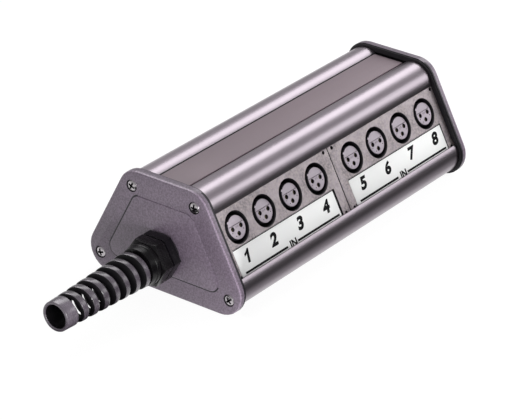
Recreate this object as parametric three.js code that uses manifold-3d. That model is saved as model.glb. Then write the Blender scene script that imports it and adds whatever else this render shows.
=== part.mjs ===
// Stage box snake: an extruded housing with two banks of four sockets, two end caps and a cable
// gland with a spiral tail. Lengths are in millimetres, X runs along the housing, Z is up and the
// sockets face -Y. X starts at the front cap's outer edge until the last function moves the origin.

import * as THREE from "three";
import { mergeVertices } from "three/addons/utils/BufferGeometryUtils.js";
import Module from "manifold-3d";

const wasm = await Module();
wasm.setup();

// Clearances and facets
const fit = 0.3; // gap between a piece and the seat that is cut for it
const overrun = 1; // how far a cutting shape runs past what it cuts
const barSides = 40;
const ringSides = 26;
const spiralSides = 22;
const holeSides = 16;
const tinySides = 8;
const arcSteps = 5;
const bevelSteps = 2;
const weldDistance = 1e-5;
const sides = [-1, 1];

// End caps
const cornerRadius = 15;
const topCornerY = 18.8; // centre of an upper corner's arc
const lowCornerY = 41.8; // centre of a lower corner's arc
const capRim = 5.2; // thickness of the rim round the housing's end
const capFloor = 3.5; // thickness behind the housing's end
const capEdgeRound = 1.4;
const sealThickness = 0.7;
const sealInset = 0.5;

// Raised field on a cap's face
const fieldHeight = 0.6;
const fieldRound = 0.3;
const fieldRadius = 6;
const fieldDrop = 15.5; // from the cap's top
const fieldLowZ = 13.5;
const fieldMargin = 13.4; // from the cap's slanted edge

// Cap screws, pan heads in counterbores
const topScrewOffset = [4.45, 4.65]; // Y and Z from the corner's centre
const lowScrewOffset = [6.7, -3.5];
const screwRadius = 2;
const screwLength = 14;
const screwHeadRadius = 3.6;
const screwHeadHeight = 2.1;
const screwSkirtShare = 0.33; // of the head's height
const screwCrownShare = 0.72; // of the head's radius
const screwSeatDepth = 1.9;
const recessSpan = 4.2;
const recessWidth = 0.9;
const recessDepth = 1.2;
const recessTurn = 25; // degrees from one screw's cross recess to the next one's

// Housing profiles
const capOverhang = 2.1; // of a cap over the bars
const wall = 2.2;
const floorRise = 1.1; // from the low bars' underside up to the floor
const screwBossRadius = 4;
const bossWebWidth = 4;

// Flank plates: depths are measured inwards from the cap's slanted edge
const plateDepth = 4.1;
const plateThickness = 2.2;
const plateGroove = 3; // how far a plate reaches behind each visible edge
const plateLowEdge = 2.6; // visible edges, up the flank from the lower corner's centre
const plateTopMargin = 7.75; // from the visible upper edge to the upper corner's centre
const grooveLip = 2.2; // thickness of the lip behind a plate
const lowLipHeight = 1.8; // how far the low lip stands above the visible edge

// Strip between the upper bars
const stripHalfWidth = 10.8;
const stripGap = 0.8;
const stripDrop = 4; // from the cap's top
const stripThickness = 1.5;
const stripEndGap = 3;

// Socket modules, two in a row
const moduleSockets = 4;
const socketPitch = 26;
const moduleMargin = 5.175; // from a module's end to the first socket's share of its length
const socketDrop = 11.7; // from the plate's visible upper edge to the sockets' centres
const socketRadius = 9.55;
const socketWall = 0.7;
const socketDepth = 16;
const socketChamfer = 0.75;
const notchOffset = 4; // from a module's end to its corner notch
const notchRadius = 1.2;
const labelMargin = 7.175; // from a module's end
const labelDrop = 10.6; // from the sockets' centres
const labelHeight = 16.7;
const labelRise = 0.3; // from the plate's visible lower edge
const labelRecess = 1.3;
const labelThickness = 0.5;

// Socket insert with three contacts
const insertRadius = 7.6;
const contactCircle = 3.85;
const contactHoleRadius = 1.3;
const crownHeight = 1.75; // line above the centre where the lower step of the face starts
const crownStep = 0.5;
const keyAngle = 150; // degrees from the module's length
const keyWidth = 1.4;
const keyProud = 0.7;
const contactRadius = 1;
const contactBoreRadius = 0.7;
const contactBoreDepth = 8;
const contactInset = 1.2;
const tailRadius = 0.5;
const tailHoleRadius = 0.8;
const tailReach = 1; // past the board

// Circuit boards behind the sockets
const boardThickness = 1.6;
const boardHeight = 22;

// Cable gland: distances along its axis are measured outwards from the cap's outer edge
const glandZ = 27.3;
const hexFlats = 26.8;
const hexChamfer = 1.6;
const threadRadius = 11.2;
const washerThickness = 1.2;
const washerRadius = 13;
const flangeEnd = 8.2;
const stubRadius = 10.2;
const stubEnd = 16.6;
const boreRadius = 8;
const sealSeatRadius = 9;
const sealSeatStart = 5;
const threadReach = 9.5; // inside the box
const lockNutFlats = 27.5;
const lockNutThickness = 5;

// Clamping insert inside the gland
const clampRadius = 8.7;
const clampBore = 7;
const clampEnd = 20;
const clampTip = 7.8;
const clampTaper = 4;
const clampFingers = 8;
const clampSlotWidth = 0.9;
const clampSlotLength = 8;

// Nut with the spiral tail
const nutStart = 9.2;
const nutHexEnd = 17.5;
const nutShoulderEnd = 24;
const nutShoulderRadius = 13;
const tailEnd = 96;
const tailRootRadius = 12.2;
const tailTipRadius = 9.25;
const tailRootBore = 7.6;
const tailTipBore = 7.4;
const tipRound = 0.6;
const spiralStart = 24.5;
const spiralEnd = 87.6;
const spiralPitch = 8.7;
const spiralTurn = 113; // degrees round the axis to the spiral's start
const coilWidth = 5; // along the axis
const coilRound = 0.9;
const coilRoundShare = 0.25; // of the wall's thickness
const coilTuck = 0.1; // how far the coil's faces lie inside those of the tail's solid ends

// Places worked out from the sizes above
const labelLow = plateLowEdge + labelRise;
const labelTop = labelLow + labelHeight;
const socketHeight = labelTop + labelDrop;
const plateHighEdge = socketHeight + socketDrop;
const flankLength = plateHighEdge + plateTopMargin;
const flankAngle = Math.asin((lowCornerY - topCornerY) / flankLength);
const lowCornerZ = cornerRadius;
const topCornerZ = lowCornerZ + flankLength * Math.cos(flankAngle);
const capHeight = topCornerZ + cornerRadius;
const barRadius = cornerRadius - capOverhang;
const moduleLength = moduleSockets * socketPitch + 2 * moduleMargin;
const housingStart = capFloor + fit;
const housingEnd = housingStart + 2 * moduleLength + fit;
const boxLength = housingEnd + housingStart;
const fieldTopZ = capHeight - fieldDrop;
const screwSpots = [
  [topCornerY + topScrewOffset[0], topCornerZ + topScrewOffset[1]],
  [lowCornerY + lowScrewOffset[0], lowCornerZ + lowScrewOffset[1]],
];
const stripTopZ = capHeight - stripDrop;
const stripFloorZ = stripTopZ - stripThickness - fit;
const plateLow = plateLowEdge - plateGroove;
const plateHigh = plateHighEdge + plateGroove;
const plateBack = plateDepth + plateThickness;
const lipBack = plateBack + fit + grooveLip;
const labelReach = moduleLength / 2 - labelMargin;
const boardReach = moduleSockets * socketPitch / 2;
const boardFront = -socketDepth - fit;
const boardBack = boardFront - boardThickness;
const flangeStart = fieldHeight + washerThickness + 2 * fit;

// Colours
const capPaint = { color: 0x6e6470, roughness: 0.55, metalness: 0.2 };
const anodised = { color: 0xa79fab, roughness: 0.32, metalness: 0.9 };
const mattGrey = { color: 0x81777b, roughness: 0.8, metalness: 0.1 };
const moduleGrey = { color: 0xa59c9f, roughness: 0.6, metalness: 0.1 };
const insertGrey = { color: 0xb0a8ac, roughness: 0.45, metalness: 0 };
const labelWhite = { color: 0xe4e6e2, roughness: 0.5, metalness: 0 };
const blackPlastic = { color: 0x1d1b20, roughness: 0.4, metalness: 0 };
const blackRubber = { color: 0x121214, roughness: 0.85, metalness: 0 };
const brightSteel = { color: 0xc8c6c8, roughness: 0.25, metalness: 1 };
const contactMetal = { color: 0xc9b37a, roughness: 0.3, metalness: 1 };
const boardGreen = { color: 0x1f4a33, roughness: 0.6, metalness: 0 };

// Turns a three.js geometry into a manifold whose triangles face outwards.
function solid(geometry) {
  geometry.deleteAttribute("normal");
  geometry.deleteAttribute("uv");
  const merged = mergeVertices(geometry, weldDistance);
  const place = merged.getAttribute("position");
  const index = merged.getIndex().array;
  const corner = (i) => new THREE.Vector3().fromBufferAttribute(place, i);
  const triangles = [];
  let volume = 0;
  for (let i = 0; i < index.length; i += 3) {
    const [a, b, c] = [index[i], index[i + 1], index[i + 2]];
    if (a === b || b === c || c === a) continue;
    triangles.push([a, b, c]);
    volume += corner(a).dot(corner(b).cross(corner(c)));
  }
  const outward = volume < 0 ? triangles.map(([a, b, c]) => [a, c, b]) : triangles;
  return new wasm.Manifold(new wasm.Mesh({
    numProp: 3,
    vertProperties: new Float32Array(place.array),
    triVerts: new Uint32Array(outward.flat()),
  }));
}

function outline(points) {
  return new THREE.Shape(points.map(([u, v]) => new THREE.Vector2(u, v)));
}

// A section drawn in Y and Z, extruded along X from start.
function extrudedX(section, start, options) {
  const geometry = new THREE.ExtrudeGeometry(section, { curveSegments: arcSteps, ...options });
  geometry.applyMatrix4(new THREE.Matrix4().makeBasis(
    new THREE.Vector3(0, 1, 0), new THREE.Vector3(0, 0, 1), new THREE.Vector3(1, 0, 0)));
  return solid(geometry.translate(start, 0, 0));
}

function prismX(section, start, end) {
  return extrudedX(section, start, { depth: end - start, bevelEnabled: false });
}

// A prism with its starting edge rounded. The bevel at its other end is trimmed off.
function roundedPrismX(section, start, end, round) {
  const bevelled = extrudedX(section, start + round, {
    depth: end - start - round,
    bevelThickness: round,
    bevelSize: round,
    bevelOffset: -round,
    bevelSegments: bevelSteps,
  });
  return bevelled.trimByPlane([-1, 0, 0], -end);
}

function rodX(y, z, radius, start, end, sides) {
  const geometry = new THREE.CylinderGeometry(radius, radius, end - start, sides);
  geometry.rotateZ(-Math.PI / 2);
  return solid(geometry.translate((start + end) / 2, y, z));
}

// A closed profile of [x, radius] points turned about X.
function turnedX(profile, sides) {
  const points = [...profile, profile[0]].map(([x, radius]) => new THREE.Vector2(radius, x));
  return solid(new THREE.LatheGeometry(points, sides).rotateZ(-Math.PI / 2));
}

function box([x, y, z], [farX, farY, farZ]) {
  const geometry = new THREE.BoxGeometry(farX - x, farY - y, farZ - z);
  return solid(geometry.translate((x + farX) / 2, (y + farY) / 2, (z + farZ) / 2));
}

// A rod along Z, for pieces that are built lying on their plate.
function rodOut(x, y, radius, low, high, sides, highRadius = radius) {
  const geometry = new THREE.CylinderGeometry(highRadius, radius, high - low, sides);
  geometry.rotateX(Math.PI / 2);
  return solid(geometry.translate(x, y, (low + high) / 2));
}

function union(solids) {
  return solids.reduce((sum, next) => sum.add(next));
}

function cut(body, tools) {
  return tools.reduce((rest, tool) => rest.subtract(tool), body);
}

// `up` runs up the flank from the lower corner's centre and `depth` inwards from the cap's edge.
// side is -1 on the socket side and 1 on the blank side.
function flankPoint([up, depth], side) {
  const out = cornerRadius - depth;
  const y = lowCornerY - up * Math.sin(flankAngle) + out * Math.cos(flankAngle);
  const z = lowCornerZ + up * Math.cos(flankAngle) + out * Math.sin(flankAngle);
  return [side * y, z];
}

function flankPrism(points, side, start, end) {
  return prismX(outline(points.map((point) => flankPoint(point, side))), start, end);
}

function flankBox([lowUp, lowDepth], [highUp, highDepth], side, start, end) {
  const corners = [
    [lowUp, lowDepth],
    [highUp, lowDepth],
    [highUp, highDepth],
    [lowUp, highDepth],
  ];
  return flankPrism(corners, side, start, end);
}

// Moves a piece built with Y up the flank and Z outwards onto the socket side's plate face.
function ontoPlate(piece, x) {
  const [y, z] = flankPoint([0, plateDepth], -1);
  const matrix = new THREE.Matrix4().makeBasis(
    new THREE.Vector3(1, 0, 0),
    new THREE.Vector3(0, Math.sin(flankAngle), Math.cos(flankAngle)),
    new THREE.Vector3(0, -Math.cos(flankAngle), Math.sin(flankAngle)));
  matrix.setPosition(x, y, z);
  return piece.transform(matrix.elements);
}

// The cap's outline, drawn in from its edge by inset.
function capOutline(inset) {
  const radius = cornerRadius - inset;
  const shape = new THREE.Shape();
  shape.absarc(lowCornerY, lowCornerZ, radius, -Math.PI / 2, flankAngle);
  shape.absarc(topCornerY, topCornerZ, radius, flankAngle, Math.PI / 2);
  shape.absarc(-topCornerY, topCornerZ, radius, Math.PI / 2, Math.PI - flankAngle);
  shape.absarc(-lowCornerY, lowCornerZ, radius, Math.PI - flankAngle, Math.PI * 3 / 2);
  return shape;
}

// The outline of the housing's end, grown by a clearance: four bars, the flank plates and the strip.
function housingOutline(grow) {
  const radius = barRadius + grow;
  const dip = Math.acos((cornerRadius - plateDepth + grow) / radius);
  const lean = Math.asin((stripTopZ + grow - topCornerZ) / radius);
  const arcs = [
    [lowCornerY, lowCornerZ, -Math.PI / 2, flankAngle + dip],
    [topCornerY, topCornerZ, flankAngle - dip, Math.PI - lean],
    [-topCornerY, topCornerZ, lean, Math.PI - flankAngle + dip],
    [-lowCornerY, lowCornerZ, Math.PI - flankAngle - dip, Math.PI * 3 / 2],
  ];
  const shape = new THREE.Shape();
  arcs.forEach(([y, z, from, to]) => shape.absarc(y, z, radius, from, to));
  return shape;
}

// The raised field: straight sides along the cap's own, with rounded corners.
function fieldOutline() {
  const depth = fieldMargin + fieldRadius;
  const centreAt = (z) => {
    const up = (z - lowCornerZ - (cornerRadius - depth) * Math.sin(flankAngle)) / Math.cos(flankAngle);
    return flankPoint([up, depth], 1);
  };
  const [lowY, lowZ] = centreAt(fieldLowZ + fieldRadius);
  const [topY, topZ] = centreAt(fieldTopZ - fieldRadius);
  const shape = new THREE.Shape();
  shape.absarc(lowY, lowZ, fieldRadius, -Math.PI / 2, flankAngle);
  shape.absarc(topY, topZ, fieldRadius, flankAngle, Math.PI / 2);
  shape.absarc(-topY, topZ, fieldRadius, Math.PI / 2, Math.PI - flankAngle);
  shape.absarc(-lowY, lowZ, fieldRadius, Math.PI - flankAngle, Math.PI * 3 / 2);
  return shape;
}

function atEachScrew(make) {
  return screwSpots.flatMap(([y, z]) => sides.map((side) => make(side * y, z)));
}

// A web from a screw boss to the wall of its bar, along the line from the bar's centre.
function bossWeb(barY, barZ, bossY, bossZ) {
  const away = new THREE.Vector2(bossY - barY, bossZ - barZ).normalize();
  const across = new THREE.Vector2(-away.y, away.x).multiplyScalar(bossWebWidth / 2);
  const boss = new THREE.Vector2(bossY, bossZ);
  const foot = away.clone().multiplyScalar(barRadius - wall / 2).add(new THREE.Vector2(barY, barZ));
  const corners = [
    boss.clone().sub(across),
    foot.clone().sub(across),
    foot.clone().add(across),
    boss.clone().add(across),
  ];
  return prismX(new THREE.Shape(corners), housingStart, housingEnd);
}

// The two bars of a profile as tubes, with the web or floor that joins them.
function barPair(barY, barZ, joint) {
  const bars = sides.map((side) =>
    rodX(side * barY, barZ, barRadius, housingStart, housingEnd, barSides));
  return union([joint, ...bars]);
}

function barHollows(barY, barZ) {
  const [start, end] = [housingStart - overrun, housingEnd + overrun];
  return sides.map((side) => rodX(side * barY, barZ, barRadius - wall, start, end, barSides));
}

function screwBosses(barY, barZ, [screwY, screwZ]) {
  return sides.flatMap((side) => [
    rodX(side * screwY, screwZ, screwBossRadius, housingStart, housingEnd, holeSides),
    bossWeb(side * barY, barZ, side * screwY, screwZ),
  ]);
}

function screwChannels([screwY, screwZ]) {
  const [start, end] = [housingStart - overrun, housingEnd + overrun];
  const radius = screwRadius + fit;
  return sides.map((side) => rodX(side * screwY, screwZ, radius, start, end, holeSides));
}

// The space inside the housing, behind the lips and within a half width and two heights.
function innerSpace(halfWidth, lowZ, highZ) {
  const reach = flankLength + cornerRadius;
  const [front, back] = sides.map((side) => [
    flankPoint([-reach, lipBack], side),
    flankPoint([reach, lipBack], side),
  ]);
  const corners = [...front, ...back.reverse()];
  const [start, end] = [housingStart - overrun, housingEnd + overrun];
  const span = box([start, -halfWidth, lowZ], [end, halfWidth, highZ]);
  return prismX(outline(corners), start, end).intersect(span);
}

function topProfile() {
  const wallLowZ = stripFloorZ - wall;
  const web = box([housingStart, -topCornerY, wallLowZ], [housingEnd, topCornerY, stripFloorZ]);
  const [start, end] = [housingStart - overrun, housingEnd + overrun];
  const seat = stripHalfWidth + stripGap;
  const stripSeat = box([start, -seat, stripFloorZ], [end, seat, capHeight]);
  let profile = cut(barPair(topCornerY, topCornerZ, web), [
    ...barHollows(topCornerY, topCornerZ),
    stripSeat,
  ]);
  const lipLow = socketHeight + socketRadius + socketWall + fit + fit;
  for (const side of sides) {
    const lip = [
      [lipLow, plateBack],
      [plateHigh, plateBack],
      [plateHigh, plateDepth - overrun],
      [plateHigh + fit + wall, plateDepth - overrun],
      [plateHigh + fit + wall, lipBack + overrun],
      [lipLow, lipBack + overrun],
    ];
    profile = profile.add(flankPrism(lip, side, housingStart, housingEnd));
  }
  profile = profile.subtract(innerSpace(capHeight, 0, wallLowZ));
  profile = union([profile, ...screwBosses(topCornerY, topCornerZ, screwSpots[0])]);
  const trims = sides.flatMap((side) => [
    flankBox([0, plateDepth - fit], [lipLow, capHeight / 2], side, start, end),
    flankBox([0, plateDepth - fit], [plateHigh + fit, plateBack + fit], side, start, end),
  ]);
  return cut(profile, [...trims, ...screwChannels(screwSpots[0])]);
}

function bottomProfile() {
  const floorZ = lowCornerZ - barRadius + floorRise;
  const [start, end] = [housingStart - overrun, housingEnd + overrun];
  const floor = box([housingStart, -lowCornerY, floorZ], [housingEnd, lowCornerY, floorZ + wall]);
  let profile = cut(barPair(lowCornerY, lowCornerZ, floor), [
    ...barHollows(lowCornerY, lowCornerZ),
    innerSpace(lowCornerY, floorZ + wall, capHeight),
  ]);
  const lipTop = plateLowEdge + lowLipHeight;
  for (const side of sides) {
    const bottom = plateLow - fit;
    const lip = [
      [bottom, plateBack + fit],
      [lipTop, plateBack + fit],
      [lipTop, lipBack],
      [bottom - wall, lipBack],
      [bottom - wall, plateDepth - overrun],
      [bottom, plateDepth - overrun],
    ];
    profile = profile.add(flankPrism(lip, side, housingStart, housingEnd));
  }
  profile = union([profile, ...screwBosses(lowCornerY, lowCornerZ, screwSpots[1])]);
  const trims = sides.flatMap((side) => [
    flankBox([plateLowEdge, -overrun], [flankLength, plateBack + fit], side, start, end),
    flankBox([plateLow - fit, plateDepth - fit], [flankLength, plateBack + fit], side, start, end),
    flankBox([lipTop, plateBack], [flankLength, cornerRadius * 2], side, start, end),
  ]);
  return cut(profile, [...trims, ...screwChannels(screwSpots[1])]);
}

function topStrip() {
  const start = housingStart + stripEndGap + capRim - capFloor;
  const low = [start, -stripHalfWidth, stripTopZ - stripThickness];
  return box(low, [boxLength - start, stripHalfWidth, stripTopZ]);
}

function backPanel() {
  return flankBox([plateLow, plateDepth], [plateHigh, plateBack], 1, housingStart, housingEnd);
}

// The front cap. The rear cap is the same without the gland's hole.
function endCap(hasGland) {
  const plate = roundedPrismX(capOutline(0), 0, capRim, capEdgeRound);
  const field = roundedPrismX(fieldOutline(), -fieldHeight, overrun, fieldRound);
  const tools = [
    prismX(housingOutline(fit), capFloor, capRim + overrun),
    ...atEachScrew((y, z) => rodX(y, z, screwHeadRadius + fit, -overrun, screwSeatDepth, holeSides)),
    ...atEachScrew((y, z) => rodX(y, z, screwRadius + fit, -overrun, capRim, holeSides)),
  ];
  if (hasGland) {
    tools.push(rodX(0, glandZ, threadRadius + fit, -fieldHeight - overrun, capRim, ringSides));
  }
  return cut(plate.add(field), tools);
}

// A rubber frame on the back of the cap's rim, round the housing's end.
function capSeal() {
  const start = capRim + fit;
  const frame = prismX(capOutline(sealInset), start, start + sealThickness);
  return frame.subtract(prismX(housingOutline(fit), capRim, start + sealThickness + overrun));
}

// A pan-head screw at X = 0 with its head towards -X and a cross recess turned by some degrees.
function capScrew(turn) {
  const headLow = screwHeadHeight * screwSkirtShare;
  const headMid = screwHeadRadius * screwCrownShare;
  const body = turnedX([
    [screwLength, 0],
    [screwLength - screwRadius / 2, screwRadius],
    [0, screwRadius],
    [0, screwHeadRadius],
    [-headLow, screwHeadRadius],
    [-screwHeadHeight + headLow / 2, headMid],
    [-screwHeadHeight, 0],
  ], holeSides);
  const half = [recessSpan / 2, recessWidth / 2];
  const bars = [half, [half[1], half[0]]].map(([y, z]) =>
    box([-screwHeadHeight - overrun, -y, -z], [-screwHeadHeight + recessDepth, y, z]));
  return cut(body, bars).rotate([turn, 0, 0]);
}

// Turns a front piece about Z so that it fits the rear end.
function toRear(piece) {
  return piece.rotate([0, 0, 180]).translate([boxLength, 0, 0]);
}

// A module's pieces are built with X along the module, Y up the flank and Z outwards.
function socketCentres() {
  const first = -(moduleSockets - 1) / 2;
  return Array.from({ length: moduleSockets }, (_, i) => (first + i) * socketPitch);
}

function moduleFrame() {
  const half = moduleLength / 2;
  const plate = box([-half, plateLow, -plateThickness], [half, plateHigh, 0]);
  const cups = socketCentres().map((x) =>
    rodOut(x, socketHeight, socketRadius + socketWall, -socketDepth, -fit, ringSides));
  const recess = box([-labelReach, labelLow, -labelRecess], [labelReach, labelTop, overrun]);
  const mouths = socketCentres().flatMap((x) => [
    rodOut(x, socketHeight, socketRadius, -socketDepth - overrun, overrun, ringSides),
    rodOut(x, socketHeight, socketRadius - overrun, -socketChamfer - overrun, overrun, ringSides,
      socketRadius + socketChamfer + overrun),
  ]);
  const notches = sides.flatMap((side) => [plateLowEdge, plateHighEdge].map((edge) =>
    rodOut(side * (half - notchOffset), edge, notchRadius, -plateThickness - overrun, overrun,
      holeSides)));
  return cut(union([plate, ...cups]), [recess, ...mouths, ...notches]);
}

// Left, right and below the socket's centre.
function contactSpots(x) {
  return [[x - contactCircle, socketHeight], [x + contactCircle, socketHeight],
    [x, socketHeight - contactCircle]];
}

function socketInsert(x) {
  const core = rodOut(x, socketHeight, insertRadius, -socketDepth, 0, ringSides);
  const keyLength = insertRadius + keyProud;
  const key = box([0, -keyWidth / 2, -socketDepth], [keyLength, keyWidth / 2, -crownStep])
    .rotate([0, 0, keyAngle])
    .translate([x, socketHeight, 0]);
  const crown = box([x - insertRadius * 2, socketHeight + crownHeight, -crownStep],
    [x + insertRadius * 2, socketHeight + insertRadius * 2, overrun]);
  const holes = contactSpots(x).map(([holeX, holeY]) =>
    rodOut(holeX, holeY, contactHoleRadius, -socketDepth - overrun, overrun, tinySides));
  return cut(core.add(key), [crown, ...holes]);
}

// A sleeve with a blind bore, and a tail that runs through the board.
function contact(x, y) {
  const front = -contactInset;
  const geometry = new THREE.LatheGeometry([
    [0, boardBack - tailReach],
    [tailRadius, boardBack - tailReach],
    [tailRadius, -socketDepth + fit],
    [contactRadius, -socketDepth + fit],
    [contactRadius, front],
    [contactBoreRadius, front],
    [contactBoreRadius, front - contactBoreDepth],
    [0, front - contactBoreDepth],
  ].map(([radius, z]) => new THREE.Vector2(radius, z)), tinySides);
  return solid(geometry.rotateX(Math.PI / 2)).translate([x, y, 0]);
}

function board() {
  const low = [-boardReach, socketHeight - boardHeight / 2, boardBack];
  const plate = box(low, [boardReach, socketHeight + boardHeight / 2, boardFront]);
  const holes = socketCentres().flatMap((x) => contactSpots(x).map(([holeX, holeY]) =>
    rodOut(holeX, holeY, tailHoleRadius, boardBack - overrun, boardFront + overrun, tinySides)));
  return cut(plate, holes);
}

function label() {
  const floor = -labelRecess + fit;
  const low = [-labelReach + fit, labelLow + fit, floor];
  return box(low, [labelReach - fit, labelTop - fit, floor + labelThickness]);
}

// The gland's pieces are built along +X from the cap outwards, then turned to point to -X.
function placeGland(piece) {
  return piece.rotate([0, 0, 180]).translate([0, 0, glandZ]);
}

// A hexagon with flats above and below, its corners chamfered at both ends.
function hexX(flats, start, end) {
  const cornerOut = flats / 2 / Math.cos(Math.PI / 6);
  const prism = new THREE.CylinderGeometry(cornerOut, cornerOut, end - start, 6, 1, false, Math.PI / 6);
  prism.rotateZ(-Math.PI / 2).translate((start + end) / 2, 0, 0);
  const barrel = turnedX([
    [start, 0],
    [start, flats / 2],
    [start + hexChamfer, cornerOut + fit],
    [end - hexChamfer, cornerOut + fit],
    [end, flats / 2],
    [end, 0],
  ], ringSides);
  return solid(prism).intersect(barrel);
}

function glandBody() {
  const flange = hexX(hexFlats, flangeStart, flangeEnd);
  const thread = rodX(0, 0, threadRadius, -threadReach, flangeStart + overrun, ringSides);
  const stub = rodX(0, 0, stubRadius, flangeEnd - overrun, stubEnd, ringSides);
  const bore = rodX(0, 0, boreRadius, -threadReach - overrun, stubEnd, ringSides);
  const seat = rodX(0, 0, sealSeatRadius, sealSeatStart, stubEnd + overrun, ringSides);
  return cut(union([flange, thread, stub]), [bore, seat]);
}

function glandWasher() {
  const start = fieldHeight + fit;
  return turnedX([
    [start, threadRadius + fit],
    [start, washerRadius],
    [start + washerThickness, washerRadius],
    [start + washerThickness, threadRadius + fit],
  ], ringSides);
}

function glandLockNut() {
  const end = -capFloor - fit;
  const hex = hexX(lockNutFlats, end - lockNutThickness, end);
  return hex.subtract(rodX(0, 0, threadRadius + fit, end - lockNutThickness - overrun, end + overrun,
    ringSides));
}

// A ring with fingers at its outer end, which the nut presses onto the cable.
function clampInsert() {
  const start = sealSeatStart + fit;
  const ring = turnedX([
    [start, clampBore],
    [start, clampRadius],
    [clampEnd - clampTaper, clampRadius],
    [clampEnd, clampTip],
    [clampEnd, clampBore],
  ], ringSides);
  const slots = Array.from({ length: clampFingers / 2 }, (_, i) =>
    box([clampEnd - clampSlotLength, -clampSlotWidth / 2, -clampRadius - overrun],
      [clampEnd + overrun, clampSlotWidth / 2, clampRadius + overrun])
      .rotate([i * 360 / clampFingers, 0, 0]));
  return cut(ring, slots);
}

// The tail tapers from its root to its tip, outside and inside.
function tailRadiusAt(x) {
  return THREE.MathUtils.mapLinear(x, nutShoulderEnd, tailEnd, tailRootRadius, tailTipRadius);
}

function tailBoreAt(x) {
  return THREE.MathUtils.mapLinear(x, nutShoulderEnd, tailEnd, tailRootBore, tailTipBore);
}

// The spiral: a straight bar whose section is the wall's share by the axial width, with one unit of
// length for each turn, wound round the axis from inside the tail's root to inside its tip.
function spiralCoil() {
  const half = coilWidth / 2;
  const section = outline([
    [0, -half],
    [1 - coilRoundShare, -half],
    [1, -half + coilRound],
    [1, half - coilRound],
    [1 - coilRoundShare, half],
    [0, half],
  ]);
  const turns = (spiralEnd - spiralStart + coilWidth) / spiralPitch;
  const steps = Math.ceil(turns * spiralSides);
  const geometry = new THREE.ExtrudeGeometry(section, { depth: turns, steps, bevelEnabled: false });
  const place = geometry.getAttribute("position");
  for (let i = 0; i < place.count; i += 1) {
    const angle = place.getZ(i) * Math.PI * 2 + THREE.MathUtils.degToRad(spiralTurn);
    const x = spiralStart - half + place.getZ(i) * spiralPitch + place.getY(i);
    const [low, high] = [tailBoreAt(x) + coilTuck, tailRadiusAt(x) - coilTuck];
    const radius = THREE.MathUtils.lerp(low, high, place.getX(i));
    place.setXYZ(i, x, radius * Math.cos(angle), radius * Math.sin(angle));
  }
  return solid(geometry);
}

function glandNut() {
  const shoulderMid = (nutHexEnd + nutShoulderEnd) / 2;
  const root = turnedX([
    [nutHexEnd - overrun, clampRadius],
    [nutHexEnd - overrun, nutShoulderRadius],
    [shoulderMid, nutShoulderRadius],
    [nutShoulderEnd, tailRootRadius],
    [spiralStart, tailRadiusAt(spiralStart)],
    [spiralStart, tailBoreAt(spiralStart)],
    [clampEnd + fit, tailRootBore],
    [clampEnd + fit - clampTaper, clampRadius],
  ], spiralSides);
  const tip = turnedX([
    [spiralEnd, tailBoreAt(spiralEnd)],
    [spiralEnd, tailRadiusAt(spiralEnd)],
    [tailEnd - tipRound, tailTipRadius],
    [tailEnd, tailTipRadius - tipRound],
    [tailEnd, tailTipBore],
  ], spiralSides);
  const threadBore = rodX(0, 0, stubRadius + fit, nutStart - overrun, stubEnd + fit, spiralSides);
  const clampRoom = turnedX([
    [nutStart - overrun, 0],
    [nutStart - overrun, clampRadius + fit],
    [clampEnd - clampTaper + fit, clampRadius + fit],
    [clampEnd + fit, clampTip + fit],
    [clampEnd + fit, 0],
  ], spiralSides);
  const hex = hexX(hexFlats, nutStart, nutHexEnd);
  return cut(union([hex, root, spiralCoil(), tip]), [threadBore, clampRoom]);
}

const group = new THREE.Group();
group.name = "stage_box_snake";

// Adds a node, with the origin moved under the middle of the whole part.
function addNode(name, piece, look) {
  const middleX = (boxLength + fieldHeight - tailEnd) / 2;
  const mesh = piece.translate([-middleX, 0, 0]).getMesh();
  const geometry = new THREE.BufferGeometry();
  geometry.setAttribute("position", new THREE.BufferAttribute(mesh.vertProperties, 3));
  geometry.setIndex(new THREE.BufferAttribute(mesh.triVerts, 1));
  geometry.computeVertexNormals();
  const node = new THREE.Mesh(geometry, new THREE.MeshStandardMaterial(look));
  node.name = name;
  group.add(node);
}

function addHousing() {
  addNode("top_profile", topProfile(), anodised);
  addNode("bottom_profile", bottomProfile(), anodised);
  addNode("top_strip", topStrip(), mattGrey);
  addNode("back_panel", backPanel(), mattGrey);
}

function addCaps() {
  addNode("front_end_cap", endCap(true), capPaint);
  addNode("rear_end_cap", toRear(endCap(false)), capPaint);
  addNode("front_cap_seal", capSeal(), blackRubber);
  addNode("rear_cap_seal", toRear(capSeal()), blackRubber);
  const spots = atEachScrew((y, z) => [screwSeatDepth - fit, y, z]);
  spots.forEach((spot, i) => {
    addNode(`front_screw_${i + 1}`, capScrew(i * recessTurn).translate(spot), brightSteel);
    addNode(`rear_screw_${i + 1}`, toRear(capScrew(-i * recessTurn).translate(spot)), brightSteel);
  });
}

function addModules() {
  for (const [bank, side] of sides.entries()) {
    const middle = boxLength / 2 + side * (moduleLength + fit) / 2;
    const place = (piece) => ontoPlate(piece, middle);
    addNode(`module_${bank + 1}_frame`, place(moduleFrame()), moduleGrey);
    addNode(`module_${bank + 1}_label`, place(label()), labelWhite);
    addNode(`module_${bank + 1}_board`, place(board()), boardGreen);
    socketCentres().forEach((x, i) => {
      const socket = `socket_${bank * moduleSockets + i + 1}`;
      addNode(`${socket}_insert`, place(socketInsert(x)), insertGrey);
      contactSpots(x).forEach(([pinX, pinY], pin) => {
        addNode(`${socket}_contact_${pin + 1}`, place(contact(pinX, pinY)), contactMetal);
      });
    });
  }
}

function addGland() {
  addNode("gland_body", placeGland(glandBody()), blackPlastic);
  addNode("gland_washer", placeGland(glandWasher()), blackRubber);
  addNode("gland_locknut", placeGland(glandLockNut()), blackPlastic);
  addNode("gland_clamp", placeGland(clampInsert()), blackRubber);
  addNode("gland_nut", placeGland(glandNut()), blackPlastic);
}

addHousing();
addCaps();
addModules();
addGland();

export default group;
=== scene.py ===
"""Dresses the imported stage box: smooth housing, moulded socket banks, printed labels, screws, cable gland."""

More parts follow.
